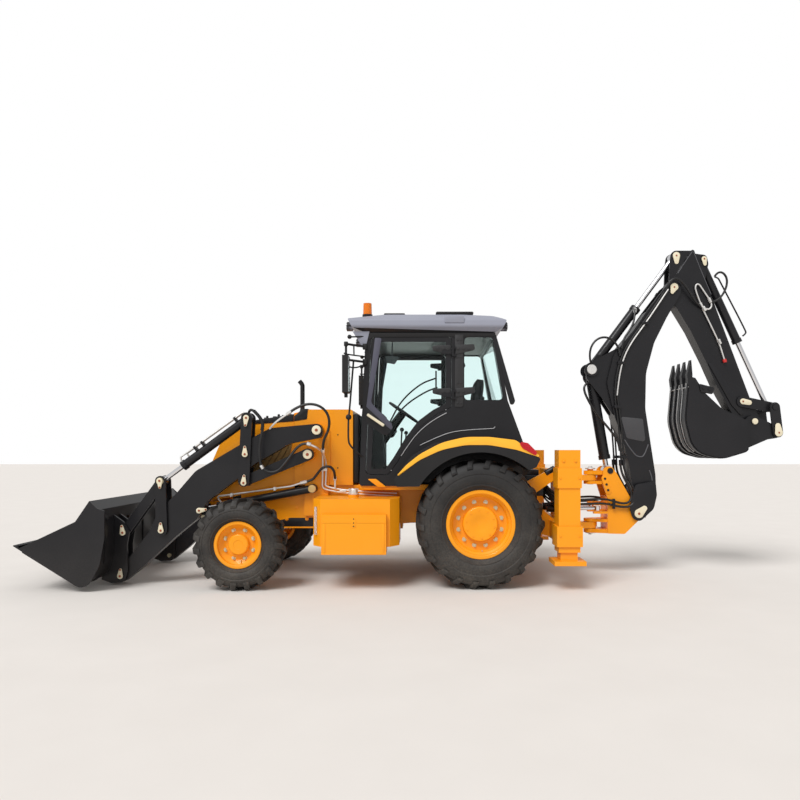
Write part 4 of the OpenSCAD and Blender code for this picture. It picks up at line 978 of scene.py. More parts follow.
# %% Filler and sight glass
FILLER = Vector((-0.76, -0.8, 0.96))
RIBS = 6
bm = bmesh.new()
add_turned(bm, [(0.001, 0.05), (0.04, 0.048), (0.044, 0.04), (0.044, 0.004), (0.058, 0.002),
                (0.058, -0.01)],
           FILLER, (0, 0, 1), 40)
for i in range(RIBS):
    turn = Matrix.Rotation(2 * math.pi * i / RIBS, 3, "Z") @ Vector((0.044, 0, 0.02))
    add_rod(bm, FILLER + turn - Vector((0, 0, 0.005)), FILLER + turn + Vector((0, 0, 0.03)), 0.006, sides=8)
piece("filler_cap", bm, STEEL)
bm = bmesh.new()
add_block(bm, (-1.128, -1.052, 0.56), (-1.108, -1.03, 0.84), 0.004, Matrix.Rotation(0.9, 4, "Z"))
piece("tank_sight_glass", bm, CLEAR_LENS)
tell("filler and sight glass")

# %% [markdown]
# The chassis plates show the bolts of what hangs between them, and a shelf under each door carries
# the cab's step. Each bolt stands on the plate's face.

# %% Chassis bolts and step shelf
CHASSIS_Y = -0.46
bm = bmesh.new()
for x in (-1.52, -1.3, -0.3, 0.02, 0.1):
    for z in (0.66, 0.9):
        add_bolt(bm, (x, CHASSIS_Y, z), (0, -1, 0), 0.024, 0.012)
for x in (-1.12, -1.1):
    add_bolt(bm, (x, -0.506, 0.84), (0, -1, 0), 0.022, 0.012)
pair("chassis_bolts", bm, ORANGE)
bm = bmesh.new()
add_block(bm, (-0.72, -0.7, 1.03), (0.18, -0.455, 1.046), 0.004)
add_block(bm, (-0.7, -0.72, 0.99), (0.16, -0.7, 1.046), 0.004)
pair("cab_step_shelf", bm, ORANGE)
tell("chassis bolts and step shelf")


# %% [markdown]
# The loader's pins carry round cream caps at the towers, each with a small rusty screw. Along the
# linkage a teardrop plate keeps each pin from turning. Its outline is two arcs, worked out from a
# wide end and a narrow end, so one helper makes every such plate.


# %% Teardrop plates and tower caps
ARC_PARTS = 8


def add_drop(bm, wide, narrow, y0, y1, radius=0.03, tip=0.014):
    """A teardrop plate: its wide end lies at one place and its narrow end at another."""
    wide, narrow = Vector((wide[0], wide[1])), Vector((narrow[0], narrow[1]))
    along = (narrow - wide).normalized()
    across = Vector((-along.y, along.x))
    points = []
    for centre, size, first in ((narrow, tip, -90), (wide, radius, 90)):
        for step in range(ARC_PARTS + 1):
            angle = math.radians(first + step * 180 / ARC_PARTS)
            at = centre + along * (math.cos(angle) * size) + across * (math.sin(angle) * size)
            points.append((at.x, at.y, 0))
    add_plate(bm, points, y0, y1, 0.002)


TOWER_CAPS = [("chassis", -1.151, 1.618), ("chassis", -1.249, 1.364)]
bm, hearts = bmesh.new(), bmesh.new()
for node, x, z in TOWER_CAPS:
    face = side_face(node + " loader_arms level_bars", x, z)
    add_rod(bm, (x, face + 0.001, z), (x, face - 0.012, z), 0.05, 0.046, sides=36, bevel=0.003)
    add_rod(hearts, (x, face - 0.011, z), (x, face - 0.017, z), 0.016, sides=20, bevel=0.002)
pair("tower_pin_caps", bm, CREAM)
pair("tower_pin_hearts", hearts, RUST)
tell("tower caps")

# %% [markdown]
# Each lock plate lies on whatever solid stands outermost at its pin, and rides on the body that
# holds the pin. A table of bodies and places with one loop keeps them alike.

# %% Lock plates of the loader
LOCK_PLATES = [  # body, solids met there, wide end, narrow end
    ("bellcranks", "bellcranks dump_barrels loader_arms", (-1.879, 1.745), (-1.886, 1.668)),
    ("loader_arms", "bellcranks loader_arms", (-1.892, 1.366), (-1.892, 1.44)),
    ("bellcranks", "bellcranks level_bars loader_arms", (-1.906, 1.068), (-1.9, 1.14)),
    ("loader_arms", "loader_arms lift_rods", (-2.382, 0.776), (-2.312, 0.787)),
    ("front_levers", "front_levers link_pins", (-2.779, 1.09), (-2.776, 1.02)),
    ("front_levers", "front_levers lever_pins", (-2.766, 0.572), (-2.768, 0.642)),
    ("loader_bucket", "loader_bucket bucket_links", (-3.163, 0.55), (-3.172, 0.616)),
    ("loader_bucket", "loader_bucket bucket_pins loader_arms", (-3.19, 0.098), (-3.186, 0.164))]
for number, (body, solids, wide, narrow) in enumerate(LOCK_PLATES):
    bm, hearts = bmesh.new(), bmesh.new()
    face = side_face(solids, *wide)
    add_drop(bm, wide, narrow, face + 0.001, face - 0.009)
    add_rod(hearts, (wide[0], face - 0.008, wide[1]), (wide[0], face - 0.014, wide[1]), 0.012, sides=18,
            bevel=0.002)
    add_bolt(hearts, (narrow[0], face - 0.009, narrow[1]), (0, -1, 0), 0.012, 0.006)
    pair(f"lock_plate_{number}", bm, CREAM, body)
    pair(f"lock_heart_{number}", hearts, RUST, body)
tell("lock plates")

# %% [markdown]
# The lift cylinder's pin at the tower has a round brass cap. It rides on the machine, because the
# pin stays in the tower when the arms go up.

# %% Lift pin cap
bm = bmesh.new()
face = side_face("chassis lift_barrels", -1.215, 1.0)
add_rod(bm, (-1.221, face + 0.001, 0.996), (-1.221, face - 0.01, 0.996), 0.044, 0.04, sides=28, bevel=0.003)
pair("lift_pin_cap", bm, BRASS)
tell("lift pin cap")

# %% [markdown]
# Each dump cylinder has two bright pipes on top, in clamps, that bring oil to its far end. A pipe
# could be a chain of cylinders, but a curve with a round bevel also gives the bends.

# %% Dump cylinder pipes
PIPE = 0.0095
HOSE_R = 0.014
DUMP_Y = -0.695
PIPE_OUT, PIPE_IN = DUMP_Y - 0.02, DUMP_Y + 0.02
DUMP_SLANT = math.radians(-36)
tubes("dump_pipes", [
     at(PIPE_OUT, (-1.9, 1.735), (-1.92, 1.812), (-1.945, 1.8), (-2.574, 1.345), (-2.592, 1.332),
    (-2.575, 1.285)), at(PIPE_IN, (-1.915, 1.72), (-1.935, 1.8), (-1.96, 1.79), (-2.52, 1.385),
    (-2.54, 1.37), (-2.5, 1.33))], PIPE, STEEL, "dump_barrels", mirrored=True)
bm = bmesh.new()
for x, z in ((-2.01, 1.745), (-2.355, 1.492), (-2.43, 1.44)):
    turn = Matrix.Rotation(DUMP_SLANT, 4, "Y")
    add_block(bm, (x - 0.012, DUMP_Y - 0.038, z - 0.045), (x + 0.012, DUMP_Y + 0.038, z + 0.014), 0.003, turn)
    add_bolt(bm, (x - 0.007, DUMP_Y, z + 0.012), (-0.59, 0, 0.81), 0.013, 0.008)
pair("dump_pipe_clamps", bm, BLACK, "dump_barrels")
tell("dump pipes")

# %% [markdown]
# The dump cylinder's hose goes down past the bellcrank and up to the tower. It crosses two moving pins, so it
# is made of an upper and a lower hose with a joiner between them. Each stays where it is made and rides on no
# body. A rigid hose would tear off its ends.

# %% Dump cylinder hoses
LOOP_Y = -0.832
UPPER_BEND = ("bellcranks", "loader_arms", (-1.8, LOOP_Y, 1.83), (-1.727, LOOP_Y, 1.33))
tubes("dump_hose_upper", [[
    (-1.862, -0.745, 1.8), (-1.842, -0.79, 1.833), *at(LOOP_Y, (-1.785, 1.815), (-1.715, 1.74),
    (-1.69, 1.66), (-1.712, 1.56), (-1.733, 1.44), (-1.727, 1.318))]], HOSE_R, HOSE, mirrored=True,
    bends=UPPER_BEND)
tubes("dump_hose_sleeve", [
    at(LOOP_Y, (-1.79, 1.817), (-1.722, 1.75), (-1.69, 1.672), (-1.706, 1.612))], HOSE_R + 0.0035, TRIM,
    mirrored=True, bends=UPPER_BEND)
tubes("dump_hose_lower", [[
    *at(LOOP_Y, (-1.727, 1.32), (-1.722, 1.262), (-1.69, 1.205), (-1.614, 1.175), (-1.535, 1.195)),
    (-1.47, -0.825, 1.27), (-1.412, -0.81, 1.352), *at(-0.8, (-1.35, 1.436), (-1.275, 1.485),
    (-1.215, 1.47))]], HOSE_R, HOSE, mirrored=True, bends=("loader_arms", "machine",
    (-1.7, LOOP_Y, 1.32), (-1.215, LOOP_Y, 1.47)))
bm = bmesh.new()
add_nut(bm, (-1.716, LOOP_Y, 1.25), (-1.694, LOOP_Y, 1.214), 0.018)
pair("dump_hose_joiner", bm, STEEL, "loader_arms")
tell("dump hoses")

# %% [markdown]
# From the hoses' ends two steel pipes run down the tower and back along the chassis. They are
# straight with short bends, and block clamps hold them to the plate.

# %% Tower pipes
TOWER_Y = -0.535
tubes("tower_pipes", [
    [(-1.235, -0.8, 1.476), (-1.19, -0.8, 1.458), (-1.14, -0.79, 1.432), (-1.118, -0.7, 1.405),
    *at(TOWER_Y, (-1.114, 1.38), (-1.12, 1.06), (-1.122, 1.0), (-1.06, 0.975), (-0.824, 0.937),
    (-0.317, 0.914))], [(-1.086, -0.725, 1.4), (-1.082, -0.66, 1.33), *at(TOWER_Y, (-1.078, 1.3),
    (-1.084, 1.06), (-1.092, 1.03), (-1.04, 1.003), (-0.824, 0.967), (-0.317, 0.944))]], PIPE, STEEL,
    mirrored=True)
bm = bmesh.new()
for x, z in ((-1.104, 1.2), (-0.9, 0.965)):
    add_block(bm, (x - 0.035, TOWER_Y - 0.012, z - 0.016), (x + 0.035, TOWER_Y + 0.014, z + 0.016), 0.003)
    add_bolt(bm, (x, TOWER_Y - 0.012, z), (0, -1, 0), 0.013, 0.007)
for start, end, radius in (((-1.245, -0.8, 1.478), (-1.205, -0.8, 1.466), 0.02),
                           ((-1.088, -0.738, 1.428), (-1.086, -0.722, 1.385), 0.019)):
    add_nut(bm, start, end, radius)
pair("tower_pipe_clamps", bm, STEEL)
tell("tower pipes")

# %% [markdown]
# A hose goes in a wide arc over the arm's upper pin, from a pipe on the arm to the tower. The wide
# arc is what lets the arm turn without pulling it, so it is drawn as wide here.

# %% Arm hose
ARC_Y = -0.785
tubes("arm_pipe", [[
    (-1.64, -0.755, 1.63), *at(ARC_Y, (-1.6, 1.684), (-1.431, 1.799), (-1.405, 1.817))]], PIPE + 0.001,
    STEEL, "loader_arms", mirrored=True)
tubes("arm_hose", [[
    *at(ARC_Y, (-1.415, 1.81), (-1.37, 1.845), (-1.249, 1.893), (-1.13, 1.88), (-1.045, 1.815),
    (-1.012, 1.725), (-1.02, 1.625), (-1.06, 1.54)), (-1.082, -0.765, 1.48), (-1.088, -0.74, 1.415)]],
    HOSE_R, HOSE, mirrored=True, bends=("loader_arms", "machine", (-1.431, ARC_Y, 1.82),
    (-1.086, ARC_Y, 1.44)))
bm = bmesh.new()
add_nut(bm, (-1.46, ARC_Y, 1.779), (-1.412, ARC_Y, 1.812), 0.018)
pair("arm_hose_nut", bm, STEEL, "loader_arms")
tell("arm hose")

# %% [markdown]
# The lift cylinder's pipe lies along its barrel in two clamps. A short hose joins it to the
# tower, and a nut and a pipe end its run.

# %% Lift cylinder pipe and hose
LIFT_Y = -0.555
LIFT_SIDE = LIFT_Y - 0.058
tubes("lift_pipe", [[
    (-2.19, LIFT_Y - 0.03, 0.845), *at(LIFT_SIDE, (-2.228, 0.895), (-2.215, 0.918), (-2.18, 0.922),
    (-1.48, 1.018), (-1.44, 1.024), (-1.38, 1.045), (-1.33, 1.06))]], PIPE, STEEL, "lift_barrels",
    mirrored=True)
bm = bmesh.new()
add_nut(bm, (-1.345, LIFT_SIDE, 1.056), (-1.275, LIFT_SIDE, 1.073), 0.019)
for x, z in ((-2.08, 0.931), (-1.62, 0.995)):
    add_block(bm, (x - 0.013, LIFT_SIDE - 0.013, z - 0.02), (x + 0.013, LIFT_SIDE + 0.03, z + 0.02), 0.003)
pair("lift_pipe_fittings", bm, STEEL, "lift_barrels")
tubes("lift_hose", [[
    *at(LIFT_SIDE, (-1.285, 1.071), (-1.215, 1.088), (-1.17, 1.15), (-1.11, 1.225), (-1.03, 1.24),
    (-0.985, 1.19)), (-0.98, LIFT_SIDE + 0.03, 1.12), (-0.981, LIFT_SIDE + 0.05, 1.1)]], HOSE_R, HOSE,
    mirrored=True, bends=("lift_barrels", "machine", (-1.275, LIFT_SIDE, 1.1), (-1.0, LIFT_SIDE, 1.12)))
HOSE_END = (-0.981, LIFT_SIDE + 0.05)
bm = bmesh.new()
add_nut(bm, (*HOSE_END, 1.125), (*HOSE_END, 1.085), 0.019)
add_rod(bm, (*HOSE_END, 1.085), (*HOSE_END, 1.0), 0.01, sides=16)
pair("lift_hose_end", bm, STEEL)
tell("lift pipe and hose")

# %% [markdown]
# The bucket's cutting edge wears out, so it is bolted on. The bolts are looked for from above, in an
# even row across the lip, and stand on it at its own slope.

# %% Bucket edge bolts
EDGE_BOLTS, EDGE_PITCH, EDGE_START = 9, 0.26, -1.04
bm = bmesh.new()
for step in range(EDGE_BOLTS):
    place = meet("loader_bucket", (-3.95, EDGE_START + step * EDGE_PITCH, 1.6), (0, 0, -1))
    add_bolt(bm, place, (0.1, 0, 1), 0.03, 0.012)
piece("bucket_edge_bolts", bm, WORN, "loader_bucket")
tell("bucket edge bolts")

# %% [markdown]
# The towers are bolted to the chassis. Below them a black sheet on the chassis plate's face is painted shade:
# the dark under the chassis between the front wheel and the tank. It is a sheet of 4 mm, so it is one thin
# plate on the plate's face.

# %% Tower bolts and painted shade under the chassis
bm = bmesh.new()
for x, z in ((-1.19, 0.88), (-1.19, 0.8), (-1.42, 0.78)):
    add_bolt(bm, (x, side_face("chassis", x, z, -1.0), z), (0, -1, 0), 0.02, 0.01)
pair("tower_bolts", bm, ORANGE)
# A black plate below the chassis's orange edge, standing in for the shade there: painted shade.
bm = bmesh.new()
plate_y = side_face("chassis", -1.3, 0.62)
add_plate(bm, [
    (-1.62, 0.578, 0.005), (-1.62, 0.64, 0.02), (-1.48, 0.672, 0.05), (-1.156, 0.672, 0.005),
    (-1.156, 0.578, 0.005)], plate_y + 0.001, plate_y - 0.003, 0.001)
pair("chassis_painted_shade", bm, BLACK)
tell("tower bolts and painted shade under the chassis")

# %% [markdown]
# The roof shell is one grey moulding. Its lower lip, the lamps' housings and the strips on top are
# black, and the tail lamps are red. Their faces are told apart by where their middle lies.

# %% Roof and lamp paint
HATCH_Z = 2.8585
LAMP_Y, LAMP_Z, LAMP_R = 0.56, 2.735, 0.05
LAMP_FRONT_X, LAMP_REAR_X, LAMP_DEPTH = -0.852, 0.862, 0.035
LIP_Z, LIP_Y = 2.672, 0.7
BEACON_FOOT = (2.8, 2.8646)
TAIL_LAMP_TOP = 1.6


def is_work_lamp(c):
    at_an_end = c.x < LAMP_FRONT_X + LAMP_DEPTH or c.x > LAMP_REAR_X - LAMP_DEPTH
    return at_an_end and math.hypot(abs(c.y) - LAMP_Y, c.z - LAMP_Z) < LAMP_R + 0.004


paint_faces("cab_roof", [(BLACK, lambda c: c.z > HATCH_Z), (BLACK, is_work_lamp),
                         (BLACK, lambda c: c.z < LIP_Z and abs(c.y) > LIP_Y)])
paint_faces("lamps", [(BLACK, lambda c: BEACON_FOOT[0] < c.z < BEACON_FOOT[1]),
                      (RED_LENS, lambda c: c.z < TAIL_LAMP_TOP)])
print("roof now has", len(frame["nodes"]["cab_roof"].data.materials), "materials")

# %% [markdown]
# Four work lamps light the ground before and behind. A bright disc behind a clear domed one gives
# the depth of a real lamp without a light source.

# %% Work lamps
for name, x, out in (("front", LAMP_FRONT_X, -1), ("rear", LAMP_REAR_X, 1)):
    bm = bmesh.new()
    add_rod(bm, (x, LAMP_Y, LAMP_Z), (x + out * 0.0015, LAMP_Y, LAMP_Z), LAMP_R - 0.008, sides=32)
    pair(f"work_lamp_{name}_reflector", bm, CHROME)
    bm = bmesh.new()
    add_rod(bm, (x + out * 0.0018, LAMP_Y, LAMP_Z), (x + out * 0.008, LAMP_Y, LAMP_Z), LAMP_R - 0.006,
            LAMP_R - 0.014, sides=32,
            bevel=0.002)
    pair(f"work_lamp_{name}_lens", bm, CLEAR_LENS)
tell("work lamps")

# %% [markdown]
# Grey panels cover the roof's side vent and the front post's head. On top lie rubber hatch strips.
# All are thin mouldings, so each is a plate or a block with soft edges.

# %% Roof panels and hatch strips
ROOF_Y = 0.798
bm = bmesh.new()
add_plate(bm, [
    (0.186, 2.735, 0.008), (0.186, 2.806, 0.012), (0.39, 2.806, 0.012), (0.39, 2.735, 0.008)],
    -ROOF_Y - 0.006, -ROOF_Y + 0.01, 0.003)
add_plate(bm, [
    (-0.776, 2.652, 0.004), (-0.598, 2.652, 0.004), (-0.64, 2.475, 0.012), (-0.664, 2.475, 0.012)], -0.752,
    -0.741, 0.002)
pair("roof_side_panels", bm, ROOF)
bm = bmesh.new()
add_block(bm, (0.1, -0.64, 2.85), (0.5, -0.3, 2.884), 0.012)
add_block(bm, (-0.454, -0.62, 2.846), (-0.23, -0.36, 2.87), 0.01)
pair("roof_hatch_strips", bm, TRIM)
tell("roof panels and hatch strips")

# %% [markdown]
# A ball on a short arm at the front post is a camera or a marker, and a black lip runs along the
# cab under the roof. A ball is an icosphere, whose faces are even.

# %% Roof lip and camera
bm = bmesh.new()
add_rod(bm, (-0.65, -0.742, 2.6), (-0.79, -0.775, 2.59), 0.008, sides=12)
add_ball(bm, (-0.804, -0.78, 2.59), 0.023)
add_plate(bm, [
    (-0.62, 2.56, 0.005), (-0.62, 2.638, 0.005), (0.72, 2.638, 0.005), (0.72, 2.6, 0.005),
    (-0.55, 2.59, 0.02)], -0.748, -0.739, 0.002)
pair("roof_lip_and_camera", bm, TRIM)
tell("roof lip and camera")

# %% [markdown]
# The mirrors face backwards, each on two arms with round clips. Their heads are in the solids, so
# only the glass, the clips and the thin arms are added. The glass is a plate with full metal and
# almost no roughness, which reflects without any set-up.

# %% Mirrors
MIRROR_X, MIRROR_Y = -0.823, -0.95
bm = bmesh.new()
add_block(bm, (-0.7935, -1.036, 2.002), (-0.7895, -0.864, 2.354), 0.0018)
pair("mirror_faces", bm, MIRROR)
bm = bmesh.new()
for z in (2.33, 2.49):
    add_rod(bm, (MIRROR_X, MIRROR_Y, z - 0.022), (MIRROR_X, MIRROR_Y, z + 0.022), 0.021, sides=20,
            bevel=0.003)
    add_block(bm, (-0.668, -0.778, z - 0.03), (-0.625, -0.74, z + 0.03), 0.005)
add_rod(bm, (MIRROR_X, MIRROR_Y, 1.945), (MIRROR_X, MIRROR_Y, 1.992), 0.018, sides=20, bevel=0.003)
add_ball(bm, (-0.812, -0.8, 1.752), 0.03)
pair("mirror_fittings", bm, TRIM)
tubes("mirror_loops", [
    [(MIRROR_X, MIRROR_Y, 2.376), (-0.84, -0.95, 2.4), (-0.84, -0.95, 2.387),
    (-0.66, -0.765, 2.387), (-0.645, -0.752, 2.387)], [(-0.752, -0.862, 2.488), (-0.75, -0.862, 2.389)],
    [(-0.84, -0.95, 2.275), (-0.8, -0.93, 2.258), (-0.73, -0.85, 2.256), (-0.655, -0.765, 2.3),
    (-0.645, -0.752, 2.303)]], 0.0075, TRIM, mirrored=True)
tell("mirrors")

# %% [markdown]
# A thin grab rail runs from the mirror's lower arm down the front post, so that the driver can hold
# it on the step. It is one bent tube, so one curve makes it.

# %% Grab rail
tubes("front_grab_rail", [[
    (-0.755, -0.862, 2.33), (-0.76, -0.835, 2.285), (-0.768, -0.815, 2.23), *at(-0.8, (-0.804, 1.8),
    (-0.814, 1.74), (-0.816, 1.514), (-0.8, 1.46)), (-0.74, -0.775, 1.4), (-0.668, -0.742, 1.34)]],
    0.0095, TRIM, mirrored=True)
tell("grab rail")

# %% [markdown]
# Each door hangs on two broad hinges. One leaf is bolted to the door and moves with it, the other
# to the cab's frame. Both sides are alike but ride on different bodies, so a mirrored copy won't
# do, and each fitting is a function of the side that is called once for each door.


# %% Hinge leaves
POD = finish("hinge_moulding", (0.028, 0.028, 0.03, 1), (0.036, 0.036, 0.038, 1), 0.5, dust=0.03, bump=0.4,
             shine=0.3)
HINGE_HEIGHTS = (2.44, 1.99)
DOOR_Y, FRAME_Y = 0.742, 0.7405


def hinge_leaves(name, body, hand, outline, inner, outer, bolt_places):
    bm = bmesh.new()
    for z in HINGE_HEIGHTS:
        add_plate(bm, [(x, z + rise, radius) for x, rise, radius in outline], hand * inner, hand * outer,
                  0.004)
        for x in bolt_places:
            add_bolt(bm, (x, hand * outer, z + 0.03), (0, hand, 0), 0.02, 0.01)
    piece(name, bm, POD, body)


def hinge(side, hand, body):
    hinge_leaves(f"door_{side}_hinge_leaves", body, hand,
                 [(0.062, 0.012, 0.018), (0.062, 0.062, 0.018), (0.252, 0.07, 0.01), (0.252, -0.03, 0.01)],
                 DOOR_Y - 0.006, DOOR_Y + 0.014, (0.11, 0.165, 0.22))
    hinge_leaves(f"frame_{side}_hinge_leaves", "machine", hand,
                 [(0.304, -0.03, 0.01), (0.304, 0.07, 0.01), (0.495, 0.08, 0.02), (0.511, 0.02, 0.02)],
                 FRAME_Y - 0.004, FRAME_Y + 0.018, (0.33, 0.385, 0.44))


# %% [markdown]
# A moulded bar covers the post between the leaves, with small bolts down it. The door's cream pull
# handle stands off on two short rods, so a hand fits behind it.


# %% Hinge bar and pull handle
def hinge_bar(side, hand):
    bm = bmesh.new()
    add_plate(bm, [(0.296, 1.86, 0.01), (0.296, 2.62, 0.006), (0.384, 2.62, 0.006), (0.384, 1.86, 0.03)],
              hand * FRAME_Y, hand * (FRAME_Y + 0.01), 0.004)
    for z in (2.565, 2.385, 2.115, 1.905):
        for x in (0.322, 0.358):
            add_bolt(bm, (x, hand * (FRAME_Y + 0.01), z), (0, hand, 0), 0.016, 0.007)
    piece(f"hinge_bar_{side}", bm, POD)


def pull_handle(side, hand, body):
    bm = bmesh.new()
    add_plate(bm, [(-0.612, 1.794, 0.008), (-0.628, 1.77, 0.008), (-0.455, 1.652, 0.008),
                   (-0.437, 1.676, 0.008)],
              hand * 0.764, hand * 0.786, 0.005)
    for x, z in ((-0.59, 1.763), (-0.465, 1.68)):
        add_rod(bm, (x, hand * 0.7, z), (x, hand * 0.768, z), 0.01, sides=16)
    piece(f"door_{side}_pull", bm, CREAM, body)


# %% [markdown]
# A bright moulding sweeps over the door, and grey and black covers lie on its front stile round the
# handle. They are thin sheets, each an outline read from the photograph.


# %% Door covers
PILLAR = finish("pillar_grey", (0.075, 0.075, 0.105, 1), (0.085, 0.085, 0.115, 1), 0.4, dust=0.02, shine=0.35)
DOOR_SWEEP = [(-0.268, 1.347), (-0.174, 1.494), (-0.064, 1.622), (0.092, 1.742), (0.21, 1.8)]
STILE_COVER = [(-0.541, 2.585, 0.01), (-0.47, 2.585, 0.02), (-0.583, 1.905, 0.06), (-0.365, 1.684, 0.01),
               (-0.358, 1.64, 0.01), (-0.372, 1.618, 0.01), (-0.632, 1.864, 0.01)]
HANDLE_PANEL = [(-0.634, 1.866, 0.01), (-0.372, 1.616, 0.01), (-0.42, 1.545, 0.05), (-0.56, 1.64, 0.1),
                (-0.634, 1.69, 0.02)]


def door_covers(side, hand, body):
    tubes(f"door_{side}_moulding", [[(x, hand * 0.7425, z) for x, z in DOOR_SWEEP]], 0.003, SILVER_LINE,
          body)
    for name, outline, inner, outer, material in (("stile_cover", STILE_COVER, 0.7415, 0.7465, PILLAR),
                                                  ("handle_panel", HANDLE_PANEL, 0.7405, 0.745, BLACK)):
        bm = bmesh.new()
        add_plate(bm, outline, hand * inner, hand * outer, 0.0015)
        piece(f"door_{side}_{name}", bm, material, body)


for side, hand in (("left", -1), ("right", 1)):
    door = f"door_{side}"
    hinge(side, hand, door)
    hinge_bar(side, hand)
    pull_handle(side, hand, door)
    door_covers(side, hand, door)
tell("doors")

# %% [markdown]
# The moulding's line goes on over the cab's side behind the door. It stays on the frame, so it is a
# curve of its own.

# %% Cab side moulding
tubes("cab_side_moulding", [
    at(-0.744, (-0.07, 1.46), (0.108, 1.545), (0.28, 1.606), (0.53, 1.628), (0.685, 1.634),
    (0.712, 1.64), (0.716, 1.656))], 0.0032, SILVER_LINE, mirrored=True)
tell("cab side moulding")

# %% [markdown]
# A yellow band runs along the fender's edge, and a black liner closes the arch behind the tyre. The
# band could be painted on the fender's faces, but its lower line crosses them, so it is a sheet.

# %% Fender bands and liners
BAND = finish("band_yellow", (0.94, 0.46, 0.03, 1), (0.95, 0.5, 0.05, 1), 0.32, dust=0.02, coat=0.12,
              shine=0.3)
bm = bmesh.new()
add_plate(bm, [
    (-0.3, 1.158, 0.01), (-0.205, 1.262, 0.3), (-0.077, 1.366, 0.5), (0.146, 1.485, 0.6),
    (0.385, 1.541, 0.6), (0.626, 1.541, 0.5), (0.897, 1.508, 0.1), (0.985, 1.425, 0.05),
    (1.12, 1.362, 0.01), (1.128, 1.336, 0.01), (0.897, 1.412, 0.5), (0.626, 1.46, 0.5),
    (0.385, 1.46, 0.6), (0.146, 1.412, 0.6), (-0.077, 1.308, 0.4), (-0.286, 1.15, 0.01)], -1.059,
    -1.065, 0.0015)
pair("fender_bands", bm, BAND)
bm = bmesh.new()
add_plate(bm, [
    (-0.33, 1.0, 0), (-0.3, 1.15, 0), (-0.06, 1.345, 0.3), (0.15, 1.455, 0.5), (0.385, 1.5, 0.5),
    (0.626, 1.5, 0.5), (0.897, 1.45, 0.3), (1.12, 1.34, 0.02), (1.12, 1.2, 0.05),
    (0.95, 1.0, 0)], -0.56, -0.552, 0.001)
pair("wheel_arch_liners", bm, BLACK)
tell("fender bands and liners")

# %% [markdown]
# A slanted bracket carries the step below the door, and black flanges hold the rear side window's
# slanted edge. Both are flat plates.

# %% Step brackets and window flanges
bm = bmesh.new()
add_plate(bm, [
    (-0.617, 1.108, 0.004), (-0.528, 1.108, 0.004), (-0.418, 1.024, 0.004), (-0.507, 1.024, 0.004)], -0.755,
    -0.79, 0.003)
pair("step_brackets", bm, ORANGE)
bm = bmesh.new()
add_plate(bm, [
    (0.7, 2.622, 0.005), (0.728, 2.622, 0.005), (0.93, 1.925, 0.02), (0.912, 1.885, 0.02),
    (0.88, 1.89, 0.02), (0.8, 2.18, 0.2)], -0.7, -0.736, 0.004)
pair("rear_window_flanges", bm, BLACK)
tell("step brackets and window flanges")

# %% [markdown]
# Inside, the far door has grab rails that show through the near pane. They are bent tubes with
# their ends turned into the door.

# %% Far door rails
RAIL_Y = 0.69
tubes("far_door_rails", [
    [(-0.445, RAIL_Y + 0.022, 1.765), *at(RAIL_Y, (-0.433, 1.788), (-0.307, 2.027), (-0.067, 2.241),
    (0.121, 2.31)), (0.138, RAIL_Y + 0.022, 2.314)], [(-0.432, RAIL_Y + 0.022, 1.748), *at(RAIL_Y,
    (-0.42, 1.769), (-0.256, 1.977), (-0.005, 2.14), (0.134, 2.191)), (0.148, RAIL_Y + 0.022, 2.195)],
    [(0.134, RAIL_Y, 2.178), (0.134, RAIL_Y, 2.405)]], 0.01, TRIM, "door_right")
tell("far door rails")

# %% [markdown]
# The driver has a dashboard under the wheel and a mirror that hangs from the roof. Only parts of
# them show through the glass, so plain rounded forms are enough.

# %% Dashboard and inner mirror
bm = bmesh.new()
add_plate(bm, [
    (-0.612, 1.6, 0.01), (-0.606, 1.8, 0.02), (-0.56, 1.87, 0.03), (-0.465, 1.8, 0.03),
    (-0.44, 1.6, 0.01)], -0.27, 0.27, 0.01)
add_plate(bm, [
    (-0.438, 2.411, 0.01), (-0.284, 2.411, 0.01), (-0.34, 2.326, 0.01), (-0.443, 2.344, 0.01)], -0.61,
    -0.592, 0.004)
add_rod(bm, (-0.37, -0.6, 2.4), (-0.36, -0.6, 2.655), 0.007, sides=12)
piece("dashboard_and_inner_mirror", bm, CABIN)
tell("dashboard and inner mirror")

# %% [markdown]
# Two levers stand on the cab's floor for driving and two behind the seat for digging. Each has a
# rod, a rubber boot at its foot and a round knob, so one row of numbers describes a lever.

# %% Levers
LEVERS = [  # knob x, y and z, then how far the foot stands from it, how far the boot's top does, foot z
    (-0.27, -0.3, 1.66, -0.03, -0.025, 1.075), (-0.235, 0.3, 1.64, -0.03, -0.025, 1.075),
    (0.64, -0.14, 2.02, 0.05, 0.045, 1.79), (0.64, 0.14, 2.02, 0.05, 0.045, 1.79)]
bm = bmesh.new()
for x, y, top, foot_shift, boot_shift, foot in LEVERS:
    add_rod(bm, (x + foot_shift, y, foot), (x, y, top - 0.03), 0.009, sides=12)
    add_rod(bm, (x + foot_shift, y, foot - 0.004), (x + boot_shift, y, foot + 0.09), 0.032, 0.014, sides=20,
            bevel=0.003)
    add_ball(bm, (x, y, top - 0.024), 0.024)
piece("levers", bm, TRIM)
tell("levers")

# %% [markdown]
# The wiper hangs from the top of the front pane: a motor's hub, a tapered arm and a blade. It lies
# a few millimetres before the glass, at the same slant.

# %% Front wiper
bm = bmesh.new()
add_rod(bm, (-0.64, 0, 2.59), (-0.672, 0, 2.59), 0.02, sides=20, bevel=0.003)
add_rod(bm, (-0.664, 0, 2.59), (-0.69, 0.22, 2.12), 0.006, 0.004, sides=10)
add_block(bm, (-0.697, 0.212, 1.8), (-0.684, 0.226, 2.43), 0.003,
          Matrix.Rotation(math.radians(2.4), 4, "Y"))
piece("front_wiper", bm, TRIM)
tell("front wiper")

